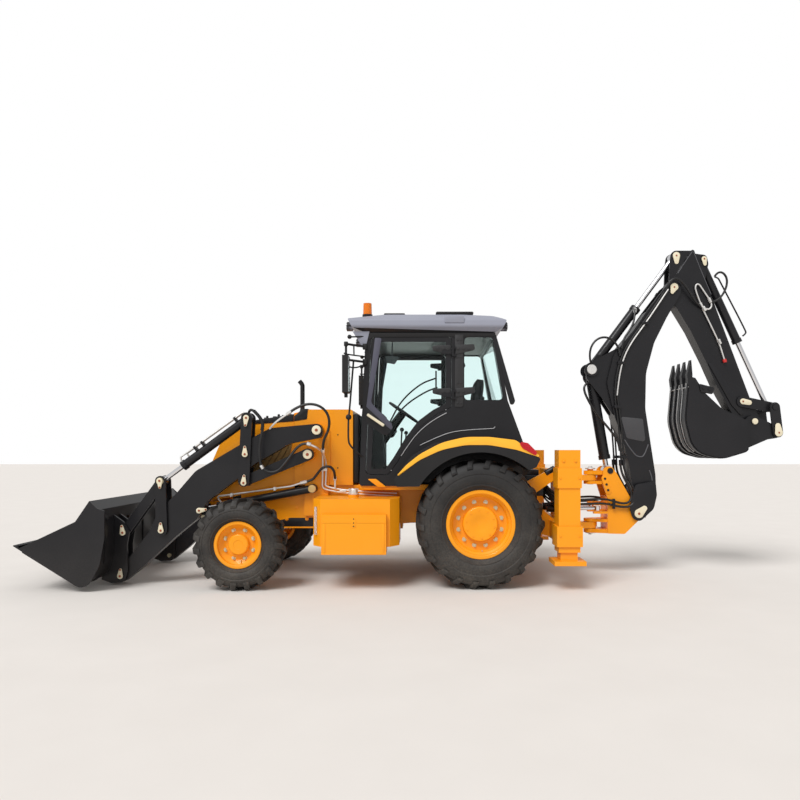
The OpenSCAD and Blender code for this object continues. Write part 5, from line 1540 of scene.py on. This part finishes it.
# %% [markdown]
# The seat's cushion and back are foam under cloth. A Cloth simulation with pressure could fill
# them, but this foam is stiff and holds its form. So each starts as a box that is subdivided, its
# middle swells, its rim keeps its line, and grooves are pressed in where the cloth is sewn down.


# %% Seat pads
PAD_CUTS = 23
GROOVE_WIDTH, GROOVE_DEPTH = 0.035, 0.01


def pad(name, low, high, crown, turn=None, channels=()):
    """A cushion in the box from low to high, crowned, with sewn channels at shares of its width."""
    bm = bmesh.new()
    low, high = Vector(low), Vector(high)
    size, middle = high - low, (low + high) / 2
    bmesh.ops.create_cube(bm, size=1.0)
    bmesh.ops.subdivide_edges(bm, edges=bm.edges[:], cuts=PAD_CUTS, use_grid_fill=True)
    bmesh.ops.transform(bm, matrix=Matrix.Diagonal((*size, 1)), verts=bm.verts)
    thin = min(range(3), key=lambda axis: size[axis])
    wide = [axis for axis in range(3) if axis != thin]
    for vert in bm.verts:
        across = [vert.co[axis] / (size[axis] / 2) for axis in wide]
        dome = (1 - across[0] ** 4) * (1 - across[1] ** 4)
        height = vert.co[thin] / (size[thin] / 2)
        pull = 0.018 * (1 - abs(height)) * (1 - min(abs(across[0]), abs(across[1])) ** 2)
        for axis, share in zip(wide, across):
            if abs(share) > 0.9:
                vert.co[axis] -= math.copysign(pull * 0.6, share)
        near = [(across[0] - place) / GROOVE_WIDTH for place in channels]
        groove = GROOVE_DEPTH * sum(math.exp(-steps ** 2) for steps in near)
        rim = 1 - 0.3 * max(abs(across[0]), abs(across[1])) ** 8
        swell = (crown * dome - groove) * abs(height) ** 2
        vert.co[thin] = math.copysign(1, height) * (abs(vert.co[thin]) * rim + swell)
    bmesh.ops.smooth_vert(bm, verts=bm.verts, factor=0.5, use_axis_x=True, use_axis_y=True, use_axis_z=True)
    place = Matrix.Translation(middle) if turn is None else turn
    bmesh.ops.transform(bm, matrix=place, verts=bm.verts)
    obj = piece(name, bm, CLOTH, stands_for=("seat",))


pad("seat_cushion", (0.062, -0.248, 1.602), (0.532, 0.248, 1.7), 0.012, channels=(-0.45, 0.0, 0.45))
BACK_LEAN = math.radians(8)
BACK_TURN = (Matrix.Translation((0.48, 0, 1.67)) @ Matrix.Rotation(BACK_LEAN, 4, "Y")
             @ Matrix.Translation((0.055, 0, 0.285)))
pad("seat_back", (-0.05, -0.228, -0.262), (0.05, 0.228, 0.262), 0.01, turn=BACK_TURN)
tell("seat pads")

# %% [markdown]
# Under the cushion a rubber bellows hides the spring, between two steel plates, and the armrests
# hang from the back. Four blocks in a stack, every other one wider, read as the bellows' folds.

# %% Seat base
FOLDS, FOLD = 4, 0.022
bm = bmesh.new()
add_block(bm, (0.11, -0.18, 1.4708), (0.48, 0.18, 1.5), 0.008)
for step in range(FOLDS):
    z = 1.502 + step * FOLD
    add_block(bm, (0.135 - 0.004 * (step % 2), -0.16, z), (0.455 + 0.004 * (step % 2), 0.16, z + 0.02),
              0.009)
add_block(bm, (0.1, -0.19, 1.588), (0.5, 0.19, 1.604), 0.006)
for y in (-0.262, 0.262):
    add_block(bm, (0.3, y - 0.022, 1.79), (0.545, y + 0.022, 1.825), 0.01)
    add_rod(bm, (0.52, y * 0.97, 1.64), (0.53, y, 1.8), 0.013, sides=14)
piece("seat_base", bm, TRIM, stands_for=("seat",))
tell("seat base")

# %% [markdown]
# Under the cab's rear a black valve block shares the oil out to the digging arm. It is one casting
# with a spool in each rib and a hose port in front of each, so one loop makes rib and port.

# %% Valve block
VALVES, VALVE_PITCH = 7, 0.085
bm = bmesh.new()
add_block(bm, (1.02, -0.33, 0.9), (1.3, 0.33, 1.13), 0.015)
for step in range(VALVES):
    y = -0.26 + step * VALVE_PITCH
    add_block(bm, (1.06, y, 1.12), (1.26, y + 0.06, 1.19), 0.006)
    add_nut(bm, (1.295, y + 0.03, 1.04), (1.335, y + 0.03, 1.04), 0.016)
piece("valve_block", bm, BLACK)
tell("valve block")

# %% [markdown]
# A short black cylinder braces the rear frame at each side, and bolts hold the stabilisers' guides.
# The bolts are looked for from outside, so they stand on the guides' faces.

# %% Braces and stabiliser bolts
bm = bmesh.new()
add_rod(bm, (1.235, -0.8, 1.168), (1.33, -0.8, 1.222), 0.03, sides=20, bevel=0.005)
pair("brace_cylinders", bm, BLACK)
LEG_X = 1.42
bm = bmesh.new()
for z, apart, across, height in ((0.555, 0.095, 0.016, 0.008), (1.13, 0.095, 0.016, 0.008),
                                 (1.3, 0.06, 0.02, 0.01)):
    for x in (LEG_X - apart, LEG_X + apart):
        add_bolt(bm, (x, side_face("chassis", x, z), z), (0, -1, 0), across, height)
pair("stabiliser_bolts", bm, ORANGE)
tell("braces and stabiliser bolts")

# %% [markdown]
# The carriage slides on two rails, and bolted jaws hold it. At its middle the kingpost's pins have
# plated caps above and below. A line sent from behind, from the side or from above finds each place.

# %% Carriage bolts and swing pin caps
SWING_X, CAP_HEIGHT = 1.9, 0.014
bm = bmesh.new()
for z in (1.11, 0.52):
    for y in (-0.245, -0.15, -0.055):
        add_bolt(bm, meet("carriage", (2.3, y, z), (-1, 0, 0)), (1, 0, 0), 0.03, 0.016)
for x in (1.555, 1.625):
    add_bolt(bm, meet("carriage", (x, -0.6, 1.12), (0, 1, 0)), (0, -1, 0), 0.028, 0.016)
pair("carriage_bolts", bm, STEEL, "carriage")
bm = bmesh.new()
for start_z, out in ((1.525, 1), (0.135, -1)):
    z = meet("carriage", (SWING_X, 0.0, start_z), (0, 0, -out)).z
    add_rod(bm, (SWING_X, 0, z), (SWING_X, 0, z + out * CAP_HEIGHT), 0.058, sides=32, bevel=0.004)
    add_bolt(bm, (SWING_X, 0, z + out * CAP_HEIGHT), (0, 0, out), 0.04, 0.018)
piece("swing_pin_caps", bm, STEEL, "carriage")
tell("carriage bolts and swing pin caps")

# %% [markdown]
# The kingpost has an oval cover plate with three bolts and a round cap where the boom cylinder's
# rod is pinned. The teardrop helper with two almost equal ends makes the oval.

# %% Kingpost fittings
bm = bmesh.new()
cover_y = side_face("kingpost", 2.03, 1.0)
add_drop(bm, (2.025, 1.09), (2.068, 0.94), cover_y + 0.001, cover_y - 0.006, radius=0.036, tip=0.034)
pair("kingpost_covers", bm, ORANGE, "kingpost")
bm = bmesh.new()
for x, z in ((2.028, 1.085), (2.046, 1.02), (2.064, 0.955)):
    add_bolt(bm, (x, cover_y - 0.006, z), (0, -1, 0), 0.016, 0.006)
post_y = side_face("kingpost boom_rod", 2.09, 1.174)
add_rod(bm, (2.09, post_y + 0.001, 1.174), (2.09, post_y - 0.008, 1.174), 0.034, sides=28, bevel=0.003)
pair("kingpost_bolts", bm, BLACK, "kingpost")
tell("kingpost fittings")

# %% [markdown]
# The boom's foot straddles the kingpost: a cheek plate outside it, a spacer to the box, and a cream
# plate on the pin. The cheek hides the kingpost's edge, so its outline follows the photograph.

# %% Boom's foot
# EDGE_LINE is a grey lighter than the black paint. It colours the boom's weld beads, and on the dipper it
# makes painted highlights along the plates' edges.
EDGE_LINE = finish("weld_and_edge_highlight_line", (0.085, 0.085, 0.095, 1), (0.11, 0.11, 0.12, 1), 0.45, dust=0.02)
PALE_PLATE = finish("primed_plate", (0.045, 0.045, 0.05, 1), (0.06, 0.06, 0.065, 1), 0.5, dust=0.02)
CHEEK = 0.184
bm = bmesh.new()
add_plate(bm, [
    (2.36, 1.02, 0.06), (2.318, 0.86, 0.3), (2.3, 0.74, 0.08), (2.33, 0.635, 0.08),
    (2.415, 0.6, 0.06), (2.57, 0.745, 0.1), (2.606, 0.9, 0.1), (2.59, 1.06, 0.04)], -CHEEK,
    -CHEEK - 0.012, 0.003)
add_block(bm, (2.49, -CHEEK - 0.001, 0.96), (2.575, -0.117, 1.04), 0.008)
pair("boom_foot_cheeks", bm, BLACK, "boom")
bm, hearts = bmesh.new(), bmesh.new()
add_drop(bm, (2.402, 0.695), (2.462, 0.752), -CHEEK - 0.011, -CHEEK - 0.022, radius=0.052, tip=0.03)
add_rod(hearts, (2.4, -CHEEK - 0.02, 0.693), (2.4, -CHEEK - 0.027, 0.693), 0.014, sides=18, bevel=0.002)
pair("boom_foot_plates", bm, CREAM, "boom")
pair("boom_foot_hearts", hearts, RUST, "boom")
tell("boom's foot")

# %% [markdown]
# The boom cylinder's barrel hangs in a lug high on the boom. Its pin has a bright cap inside a black
# ring. Both have a stepped section, so they are turned about the pin.

# %% Boom lug
LUG_X, LUG_Z = 1.892, 2.33
lug_place = (LUG_X, side_face("boom boom_barrel", LUG_X, LUG_Z) + 0.001, LUG_Z)
bm, rings = bmesh.new(), bmesh.new()
add_turned(bm, [(0.0, 0.0), (0.0, 0.014), (0.052, 0.014), (0.056, 0.01), (0.056, 0.0)], lug_place,
           (0, -1, 0), 36)
add_turned(rings, [(0.058, 0.0), (0.058, 0.008), (0.08, 0.008), (0.082, 0.0)], lug_place, (0, -1, 0), 36)
pair("boom_lug_caps", bm, STEEL, "boom")
pair("boom_lug_rings", rings, BLACK, "boom")
tell("boom lug")

# %% [markdown]
# Two pipes carry oil along the boom's side, in clamps with a bolt each. One list of points follows
# the boom's front edge, and the second pipe uses a part of it, shifted, so they stay parallel.

# %% Boom pipes
BOOM_Y = -0.12
PIPE_GAP = 0.03
CLAMP_Y = BOOM_Y - 0.036
PIPE_Y = BOOM_Y - 0.022
edge = [(2.72, 3.236), (2.505, 2.905), (2.26, 2.58), (2.165, 2.3), (2.14, 2.03), (2.175, 1.79),
        (2.205, 1.5), (2.215, 1.29)]
tubes("boom_pipes", [[
    (x, PIPE_Y, z) for x, z in edge], [(x + PIPE_GAP, PIPE_Y, z) for x, z in edge[4:]]], 0.01, HOSE,
    "boom", mirrored=True)
tubes("boom_upper_pipe", [[(x + PIPE_GAP, PIPE_Y, z) for x, z in edge[:5]]], 0.009, STEEL, "boom")
bm = bmesh.new()
for x, z in ((2.47, 2.85), (2.2, 2.4), (2.16, 1.9), (2.225, 1.33)):
    add_block(bm, (x - 0.022, CLAMP_Y, z - 0.016), (x + 0.056, BOOM_Y + 0.002, z + 0.016), 0.003)
    add_bolt(bm, (x + 0.016, CLAMP_Y, z), (0, -1, 0), 0.016, 0.008)
pair("boom_pipe_clamps", bm, BLACK, "boom")
tell("boom pipes")

# %% [markdown]
# The boom is a welded box. A grey bead runs along its welds, a plain plate lies on its side, and
# nuts join its pipes to the hoses. A weld could be a bump in the paint, but a thin tube casts the
# small shadow of a real bead.

# %% Boom welds, plates and nuts
WELD_Y = BOOM_Y - 0.001
tubes("boom_welds", [
     at(WELD_Y, (2.259, 1.528), (2.368, 1.354), (2.444, 1.327), (2.488, 1.348), (2.531, 1.474)), at(WELD_Y,
    (2.542, 1.18), (2.57, 1.12), (2.575, 1.06))], 0.007, EDGE_LINE, "boom", mirrored=True)
bm = bmesh.new()
add_plate(bm, [
    (2.215, 1.79, 0.02), (2.47, 1.765, 0.02), (2.5, 1.5, 0.03), (2.285, 1.545, 0.03)], BOOM_Y - 0.005,
    BOOM_Y + 0.004, 0.002)
pair("boom_side_plates", bm, PALE_PLATE, "boom")
bm = bmesh.new()
for start, end, radius in (((2.205, PIPE_Y, 1.3), (2.208, PIPE_Y, 1.235), 0.018),
                           ((2.238, PIPE_Y, 1.3), (2.241, PIPE_Y, 1.235), 0.018),
                           ((2.705, PIPE_Y, 3.213), (2.73, PIPE_Y, 3.252), 0.018)):
    add_nut(bm, start, end, radius)
pair("boom_pipe_nuts", bm, BLACK, "boom")
tell("boom welds, plates and nuts")

# %% [markdown]
# Three sets of hoses lead the oil from the boom to the kingpost, on to the carriage and then to the valve
# block. Each crosses one joint and stays where it is made, on no body, and they meet in clamps that stay
# still. One long hose over three joints would have no fixed place between them.

# %% Hoses at the boom's foot
HOSE_Y = PIPE_Y - 0.03
tubes("boom_foot_hoses", [
    [(2.208, PIPE_Y, 1.24), (2.212, PIPE_Y - 0.012, 1.18), *at(HOSE_Y, (2.24, 1.09), (2.3, 0.99),
    (2.33, 0.9)), (2.3, -0.19, 0.82), (2.21, -0.19, 0.8), (2.13, -0.185, 0.83)],
    [(2.241, PIPE_Y, 1.24), (2.25, PIPE_Y - 0.012, 1.18), *at(HOSE_Y, (2.285, 1.09), (2.345, 0.985),
    (2.37, 0.89)), (2.335, -0.19, 0.785), (2.24, -0.19, 0.76), (2.13, -0.185, 0.78)]], 0.013, HOSE,
    mirrored=True, bends=("boom", "kingpost", (2.215, HOSE_Y, 1.18), (2.3, HOSE_Y, 0.83)))
tubes("post_hoses", [
    [(2.135, -0.185 + shift * 0.2, 0.83 - shift), (2.06, -0.19, 0.85 - shift),
    (1.96, -0.195, 0.86 - shift), (1.86, -0.2, 0.855 - shift), (1.74, -0.205, 0.85 - shift),
    (1.62, -0.215, 0.85 - shift)] for shift in (0.0, 0.05)], 0.013, HOSE, mirrored=True,
    bends=("kingpost", "carriage", (2.06, -0.19, 0.83), (1.74, -0.19, 0.83)))
tubes("carriage_hoses", [
    [(1.64, -0.212 - step * 0.004, 0.86 - step * 0.04), (1.56, -0.225, 0.865 - step * 0.04),
    (1.47, -0.245, 0.9 - step * 0.04), (1.39, -0.255, 0.96 - step * 0.03),
    (1.33, -0.25 + step * 0.05, 1.03 - step * 0.012)] for step in range(4)], 0.012, HOSE, mirrored=True,
    bends=("carriage", "machine", (1.56, -0.2, 0.9), (1.35, -0.2, 0.98)))
bm = bmesh.new()
add_block(bm, (2.105, -0.196, 0.745), (2.135, -0.176, 0.86), 0.004)
for z in (0.765, 0.8, 0.842):
    add_bolt(bm, (2.12, -0.196, z), (0, -1, 0), 0.014, 0.007)
pair("post_hose_clamp", bm, BLACK, "kingpost")
tell("hoses at the boom's foot")

# %% [markdown]
# The boom cylinder gets its oil at the barrel's upper end. One hose loops down to the boom's pipe,
# and another makes a free loop over the lug, wide enough for the barrel's small swing.

# %% Boom cylinder hoses
CYL_Y = -0.08
tubes("boom_barrel_hose", [[
    (1.905, -0.055, 2.19), (1.85, CYL_Y - 0.02, 2.18), (1.8, CYL_Y - 0.04, 2.14),
    (1.8, CYL_Y - 0.05, 2.07), (1.86, CYL_Y - 0.06, 1.94), *at(CYL_Y - 0.065, (1.96, 1.79),
    (2.07, 1.66), (2.15, 1.56), (2.19, 1.48)), (2.2, PIPE_Y, 1.4)]], 0.013, HOSE,
    bends=("boom_barrel", "boom", (1.8, CYL_Y, 2.12), (2.19, CYL_Y, 1.5)))
tubes("boom_lug_hose", [[
    (1.885, -0.1, 2.395), (1.858, -0.14, 2.45), *at(-0.155, (1.862, 2.56), (1.91, 2.645),
    (1.985, 2.69), (2.07, 2.685)), (2.145, -0.15, 2.635), (2.19, PIPE_Y, 2.56),
    (2.205, PIPE_Y, 2.48)]], 0.012, HOSE, "boom")

# %% [markdown]
tell("boom cylinder hoses")

# %% [markdown]
# The digging arm's pins have the same teardrop plates as the loader's, of other sizes. Their table
# also gives the two radii. The bucket's own pivot has a round cap.

# %% Lock plates of the digging arm
ARM_CAPS = [  # body, solids met, wide end, narrow end, their radii
    ("dipper", "dipper dipper_rod", (2.862, 3.632), (2.864, 3.56), 0.042, 0.024),
    ("dipper", "dipper digger_barrel", (3.175, 3.592), (3.184, 3.532), 0.03, 0.018),
    ("boom", "boom dipper", (2.822, 3.262), (2.8, 3.205), 0.046, 0.02),
    ("rocker", "rocker digger_link dipper", (3.61, 1.964), (3.682, 1.95), 0.033, 0.028),
    ("digger_bucket", "digger_bucket digger_link", (3.985, 1.606), (3.974, 1.684), 0.044, 0.03)]
for number, (body, solids, wide, narrow, radius, tip) in enumerate(ARM_CAPS):
    bm, hearts = bmesh.new(), bmesh.new()
    face = side_face(solids, *wide)
    add_drop(bm, wide, narrow, face + 0.001, face - 0.008, radius, tip)
    add_rod(hearts, (wide[0], face - 0.007, wide[1]), (wide[0], face - 0.012, wide[1]), 0.01, sides=18,
            bevel=0.002)
    pair(f"arm_lock_{number}", bm, CREAM, body)
    pair(f"arm_heart_{number}", hearts, RUST, body)
bm = bmesh.new()
face = side_face("dipper digger_bucket", 3.73, 1.735)
add_rod(bm, (3.73, face + 0.001, 1.735), (3.73, face - 0.01, 1.735), 0.036, 0.032, sides=28, bevel=0.003)
pair("digger_pivot_cap", bm, CREAM, "digger_bucket")
tell("lock plates of the arm")

# %% [markdown]
# A bright pipe with a tee lies along the dipper, ends in a red plug, and turns back on itself in a
# long loop. It stands off the plate on short posts at its fittings.

# %% Dipper pipes
RED_CAP = finish("red_plug", (0.55, 0.02, 0.02, 1), (0.6, 0.04, 0.03, 1), 0.4, dust=0.02)
DIP_Y = -0.112
tubes("dipper_pipes", [
     at(DIP_Y, (3.166, 2.997), (3.255, 2.815), (3.341, 2.634), (3.38, 2.51), (3.406, 2.425)), at(DIP_Y,
    (3.14, 3.06), (3.075, 3.215), (3.07, 3.29), (3.11, 3.31), (3.165, 3.225), (3.24, 3.115),
    (3.262, 3.055), (3.225, 3.005), (3.18, 3.025))], 0.009, STEEL, "dipper")
bm = bmesh.new()
for x, z, size in ((3.17, 3.02, 0.022), (3.345, 2.645, 0.02), (3.14, 3.06, 0.017),
                   (3.236, 3.118, 0.017)):
    add_nut(bm, (x - 0.012, DIP_Y, z + 0.026), (x + 0.012, DIP_Y, z - 0.026), size)
    add_rod(bm, (x, DIP_Y, z), (x, DIP_Y + 0.04, z), size * 0.8, sides=14)
piece("dipper_pipe_fittings", bm, STEEL, "dipper")
bm = bmesh.new()
add_rod(bm, (3.4, DIP_Y, 2.445), (3.412, DIP_Y, 2.408), 0.021, sides=20, bevel=0.004)
add_rod(bm, (3.406, DIP_Y + 0.03, 2.425), (3.406, DIP_Y, 2.425), 0.014, sides=16)
piece("dipper_red_cap", bm, RED_CAP, "dipper")
tell("dipper pipes")

# %% [markdown]
# Hoses pass the elbow between boom and dipper, and lead to the two cylinders there. Each stays where it is
# made and rides on no body. The bucket cylinder's pipe is rigid and rides on its barrel.

# %% Hoses at the elbow
tubes("elbow_hose", [[
    (2.716, PIPE_Y, 3.23), (2.745, -0.155, 3.29), (2.8, -0.16, 3.355), (2.87, -0.16, 3.35),
    (2.94, -0.155, 3.275), (3.0, -0.145, 3.19), (3.06, -0.13, 3.105), (3.12, DIP_Y, 3.055),
    (3.165, DIP_Y, 3.025)]], 0.013, HOSE, bends=("boom", "dipper", (2.745, PIPE_Y, 3.3),
    (3.06, PIPE_Y, 3.12)))
tubes("digger_barrel_hose", [[
    (3.312, -0.06, 3.4), (3.33, -0.085, 3.44), (3.38, -0.11, 3.44), (3.425, -0.12, 3.38),
    (3.43, -0.12, 3.29), (3.385, -0.118, 3.18), (3.31, DIP_Y, 3.105), (3.236, DIP_Y, 3.095)]], 0.012,
    HOSE, bends=("digger_barrel", "dipper", (3.34, -0.1, 3.42), (3.3, -0.1, 3.12)))
tubes("digger_barrel_pipe", [[
    (3.315, -0.05, 3.4), *at(-0.068, (3.35, 3.385), (3.372, 3.34), (3.665, 2.78)),
    (3.672, -0.062, 2.745), (3.64, -0.045, 2.72)]], 0.009, BLACK, "digger_barrel")
tubes("dipper_barrel_hose", [[
    (2.4, -0.055, 3.03), (2.392, -0.075, 2.96), (2.37, -0.1, 2.86), (2.31, -0.13, 2.76),
    (2.24, PIPE_Y, 2.67), (2.225, PIPE_Y, 2.56)]], 0.012, HOSE, bends=("dipper_barrel", "boom",
    (2.39, -0.1, 2.95), (2.26, -0.1, 2.68)))
bm = bmesh.new()
add_nut(bm, (2.405, -0.045, 3.04), (2.398, -0.062, 2.985), 0.018)
piece("dipper_barrel_fitting", bm, STEEL, "dipper_barrel")
tell("hoses at the elbow")

# %% [markdown]
# A wear strip guards the dipper's lower edge from stones, and thin grey lines up to its apex are painted
# highlights on the edges of its plates.

# %% Dipper strips and painted edge highlights
DIP_HIGHLIGHT_Y = -0.0885
bm = bmesh.new()
add_plate(bm, [
    (3.222, 2.4, 0.01), (3.27, 2.415, 0.01), (3.532, 2.03, 0.02), (3.63, 1.83, 0.02),
    (3.6, 1.8, 0.02), (3.49, 1.92, 0.03)], -0.088, -0.102, 0.003)
pair("dipper_wear_strips", bm, BLACK, "dipper")
# Grey tubes, lighter than the black dipper, laid along its plates' edges up to the apex: painted highlights.
tubes("dipper_painted_edge_highlights", [
     at(DIP_HIGHLIGHT_Y, (3.046, 3.68), (2.96, 3.56), (2.88, 3.43)), at(DIP_HIGHLIGHT_Y, (3.06, 3.68),
    (3.16, 3.42), (3.262, 3.19))], 0.0045, EDGE_LINE, "dipper", mirrored=True)
tell("dipper strips and painted edge highlights")

# %% [markdown]
# The bucket's ribs and its lip are polished by the soil. A search down its back finds the places
# along each rib, and a thin bright tube laid through them is the worn line. Worn paint could come
# from a mask in the finish, but a line in the geometry keeps its place on any solid.


# %% Worn ribs of the digging bucket
BRIGHT_WEAR = finish("bright_wear", (0.42, 0.42, 0.42, 1), (0.62, 0.62, 0.61, 1), 0.4, dust=0.05, patch=12,
                     metallic=0.6)
BEHIND_X = 2.2
LIP_WELD_Z = 2.115


def bucket_back(y, heights):
    """Places down the digging bucket's back, where a line from the front meets it."""
    places = [meet("digger_bucket", (BEHIND_X, y, z), (1, 0, 0)) for z in heights]
    return [(place.x - 0.001, y, place.z) for place in places]


BACK_HEIGHTS = [2.16, 2.06, 1.96, 1.86, 1.76, 1.68, 1.6, 1.54, 1.48, 1.43, 1.395]
tubes("digger_rib_wear", [
    bucket_back(y, BACK_HEIGHTS) for y in (-0.225, -0.105, 0.015, 0.135, 0.235)], 0.007, BRIGHT_WEAR,
    "digger_bucket")
lip = [(meet("digger_bucket", (BEHIND_X, y, LIP_WELD_Z), (1, 0, 0)).x, y, LIP_WELD_Z)
       for y in (-0.27, -0.1, 0.1, 0.27)]
tubes("digger_lip_weld", [lip], 0.008, BRIGHT_WEAR, "digger_bucket")
tell("worn ribs")

# %% [markdown]
# Side cutters are bolted to the bucket's cheeks, where they widen the trench and can be replaced.
# They are thick plates, with two bolts each.

# %% Side cutters
CUTTER_Y = -0.296
bm = bmesh.new()
add_plate(bm, [
    (3.04, 2.15, 0.01), (3.215, 2.105, 0.02), (3.19, 2.03, 0.02), (3.06, 2.055, 0.01)], -0.278,
    CUTTER_Y, 0.004)
for x, z in ((3.085, 2.1), (3.155, 2.082)):
    add_bolt(bm, (x, CUTTER_Y, z), (0, -1, 0), 0.024, 0.01)
pair("digger_side_cutters", bm, BLACK, "digger_bucket")
bm = bmesh.new()
add_bolt(bm, (3.618, side_face("digger_bucket", 3.618, 1.44), 1.44), (0, -1, 0), 0.03, 0.012)
pair("digger_side_bolt", bm, STEEL, "digger_bucket")
tell("side cutters")

# %% [markdown]
# Under the cab a gearbox hangs between the chassis plates and shows between the wheels. It is a
# casting with ribs, a bell housing towards the engine, and a bolted sump below.

# %% Gearbox
SUMP_BOLTS = 8
bm = bmesh.new()
add_block(bm, (-1.3, -0.165, 0.56), (-0.8, 0.165, 0.88), 0.045)
for x in (-1.215, -1.06, -0.905):
    add_block(bm, (x - 0.012, -0.178, 0.57), (x + 0.012, 0.178, 0.872), 0.01)
add_block(bm, (-1.205, -0.12, 0.535), (-0.895, 0.12, 0.58), 0.014)
add_rod(bm, (-1.3, 0, 0.79), (-1.44, 0, 0.895), 0.11, 0.13, sides=32, bevel=0.008)
for x, z in ((-1.3, 0.56), (-0.8, 0.575)):
    add_rod(bm, (x - 0.055, 0, z + 0.02), (x + 0.055, 0, z + 0.02), 0.07, sides=32, bevel=0.008)
for step in range(SUMP_BOLTS):
    angle = 2 * math.pi * step / SUMP_BOLTS
    add_bolt(bm, (-1.18 + step * 0.036, 0.05 * math.sin(angle), 0.536), (0, 0, -1), 0.016, 0.008)
piece("gearbox", bm, BLACK)
tell("gearbox")

# %% [markdown]
# Two propeller shafts drive the axles. Each has a flange, a cross joint and a sleeve at both ends.
# One loop lays the same shapes from either end along the shaft's own line, so its slant is free.

# %% Propeller shafts
bm = bmesh.new()
for start, end in (((-1.358, 0, 0.575), (-1.775, 0, 0.498)), ((-0.742, 0, 0.59), (0.345, 0, 0.6))):
    start, end = Vector(start), Vector(end)
    along = (end - start).normalized()
    add_rod(bm, start, end, 0.0275, sides=24)
    for place, way in ((start, along), (end, -along)):
        add_rod(bm, place, place + way * 0.026, 0.046, sides=28, bevel=0.003)
        cross, half = place + way * 0.05, Vector((0.02, 0.036, 0.02))
        add_block(bm, cross - half, cross + half, 0.006)
        add_rod(bm, place + way * 0.07, place + way * 0.13, 0.036, 0.029, sides=20, bevel=0.003)
piece("drive_shafts", bm, STEEL)
tell("propeller shafts")

# %% [markdown]
# The studio is a plain pale floor. It is far larger than the machine, so that its edge is the
# horizon, and it lies half a millimetre below the tyres, so no faces share a plane.

# %% Floor
FLOOR_HALF = 60
FLOOR_Z = -0.0005
floor_bm = bmesh.new()
bmesh.ops.create_grid(floor_bm, x_segments=1, y_segments=1, size=FLOOR_HALF)
floor_mesh = bpy.data.meshes.new("floor")
floor_bm.to_mesh(floor_mesh)
floor_bm.free()
floor = bpy.data.objects.new("floor", floor_mesh)
floor.location.z = FLOOR_Z
bpy.context.scene.collection.objects.link(floor)
FLOOR_COLOUR = (0.72, 0.68, 0.64, 1)
floor_material = finish("studio_floor", FLOOR_COLOUR, (0.75, 0.71, 0.67, 1), 0.8, dust=0.0, bump=0.0)
floor_mesh.materials.append(floor_material)
print("floor", tuple(round(side, 1) for side in floor.dimensions))

# %% [markdown]
# A white world lights the machine evenly, as the photograph's studio does. The camera and the panes
# see it at full strength, while surfaces get less light from it, so the picture's ground is white
# and the paint keeps its colour. A Light Path node tells these rays apart.

# %% World
GLOSS_SHARE = 0.1
AMBIENT = 0.62
world = bpy.data.worlds.new("studio")
bpy.context.scene.world = world
world.use_nodes = True
tree = world.node_tree
background = tree.nodes["Background"]
rays = add_node(tree, "ShaderNodeLightPath")
seen = math_node(tree, "MAXIMUM", rays.outputs["Is Camera Ray"], rays.outputs["Is Transmission Ray"])
seen = math_node(tree, "MAXIMUM", seen, math_node(tree, "MULTIPLY", rays.outputs["Is Glossy Ray"],
                                                  GLOSS_SHARE))
level = math_node(tree, "ADD", math_node(tree, "MULTIPLY", seen, 1 - AMBIENT), AMBIENT)
tree.links.new(level, background.inputs["Strength"])
background.inputs["Color"].default_value = (1, 1, 1, 1)
print("world of", len(tree.nodes), "nodes, ambient light", AMBIENT)

# %% [markdown]
# One wide sun from above and before the machine gives it shape. Its width makes the shadows soft,
# as a large lamp with a diffuser would, and it costs less time than an area lamp.

# %% Sun
SUN_STRENGTH = 2.3
SUN_WIDTH = math.radians(28)
SUN_WAY = Vector((0.45, 0.75, -1.05))
sun_data = bpy.data.lights.new("sun", "SUN")
sun_data.energy = SUN_STRENGTH
sun_data.angle = SUN_WIDTH
sun = bpy.data.objects.new("sun", sun_data)
sun.rotation_euler = SUN_WAY.to_track_quat("-Z", "Y").to_euler()
bpy.context.scene.collection.objects.link(sun)
print("sun shines along", tuple(round(part, 2) for part in SUN_WAY.normalized()))
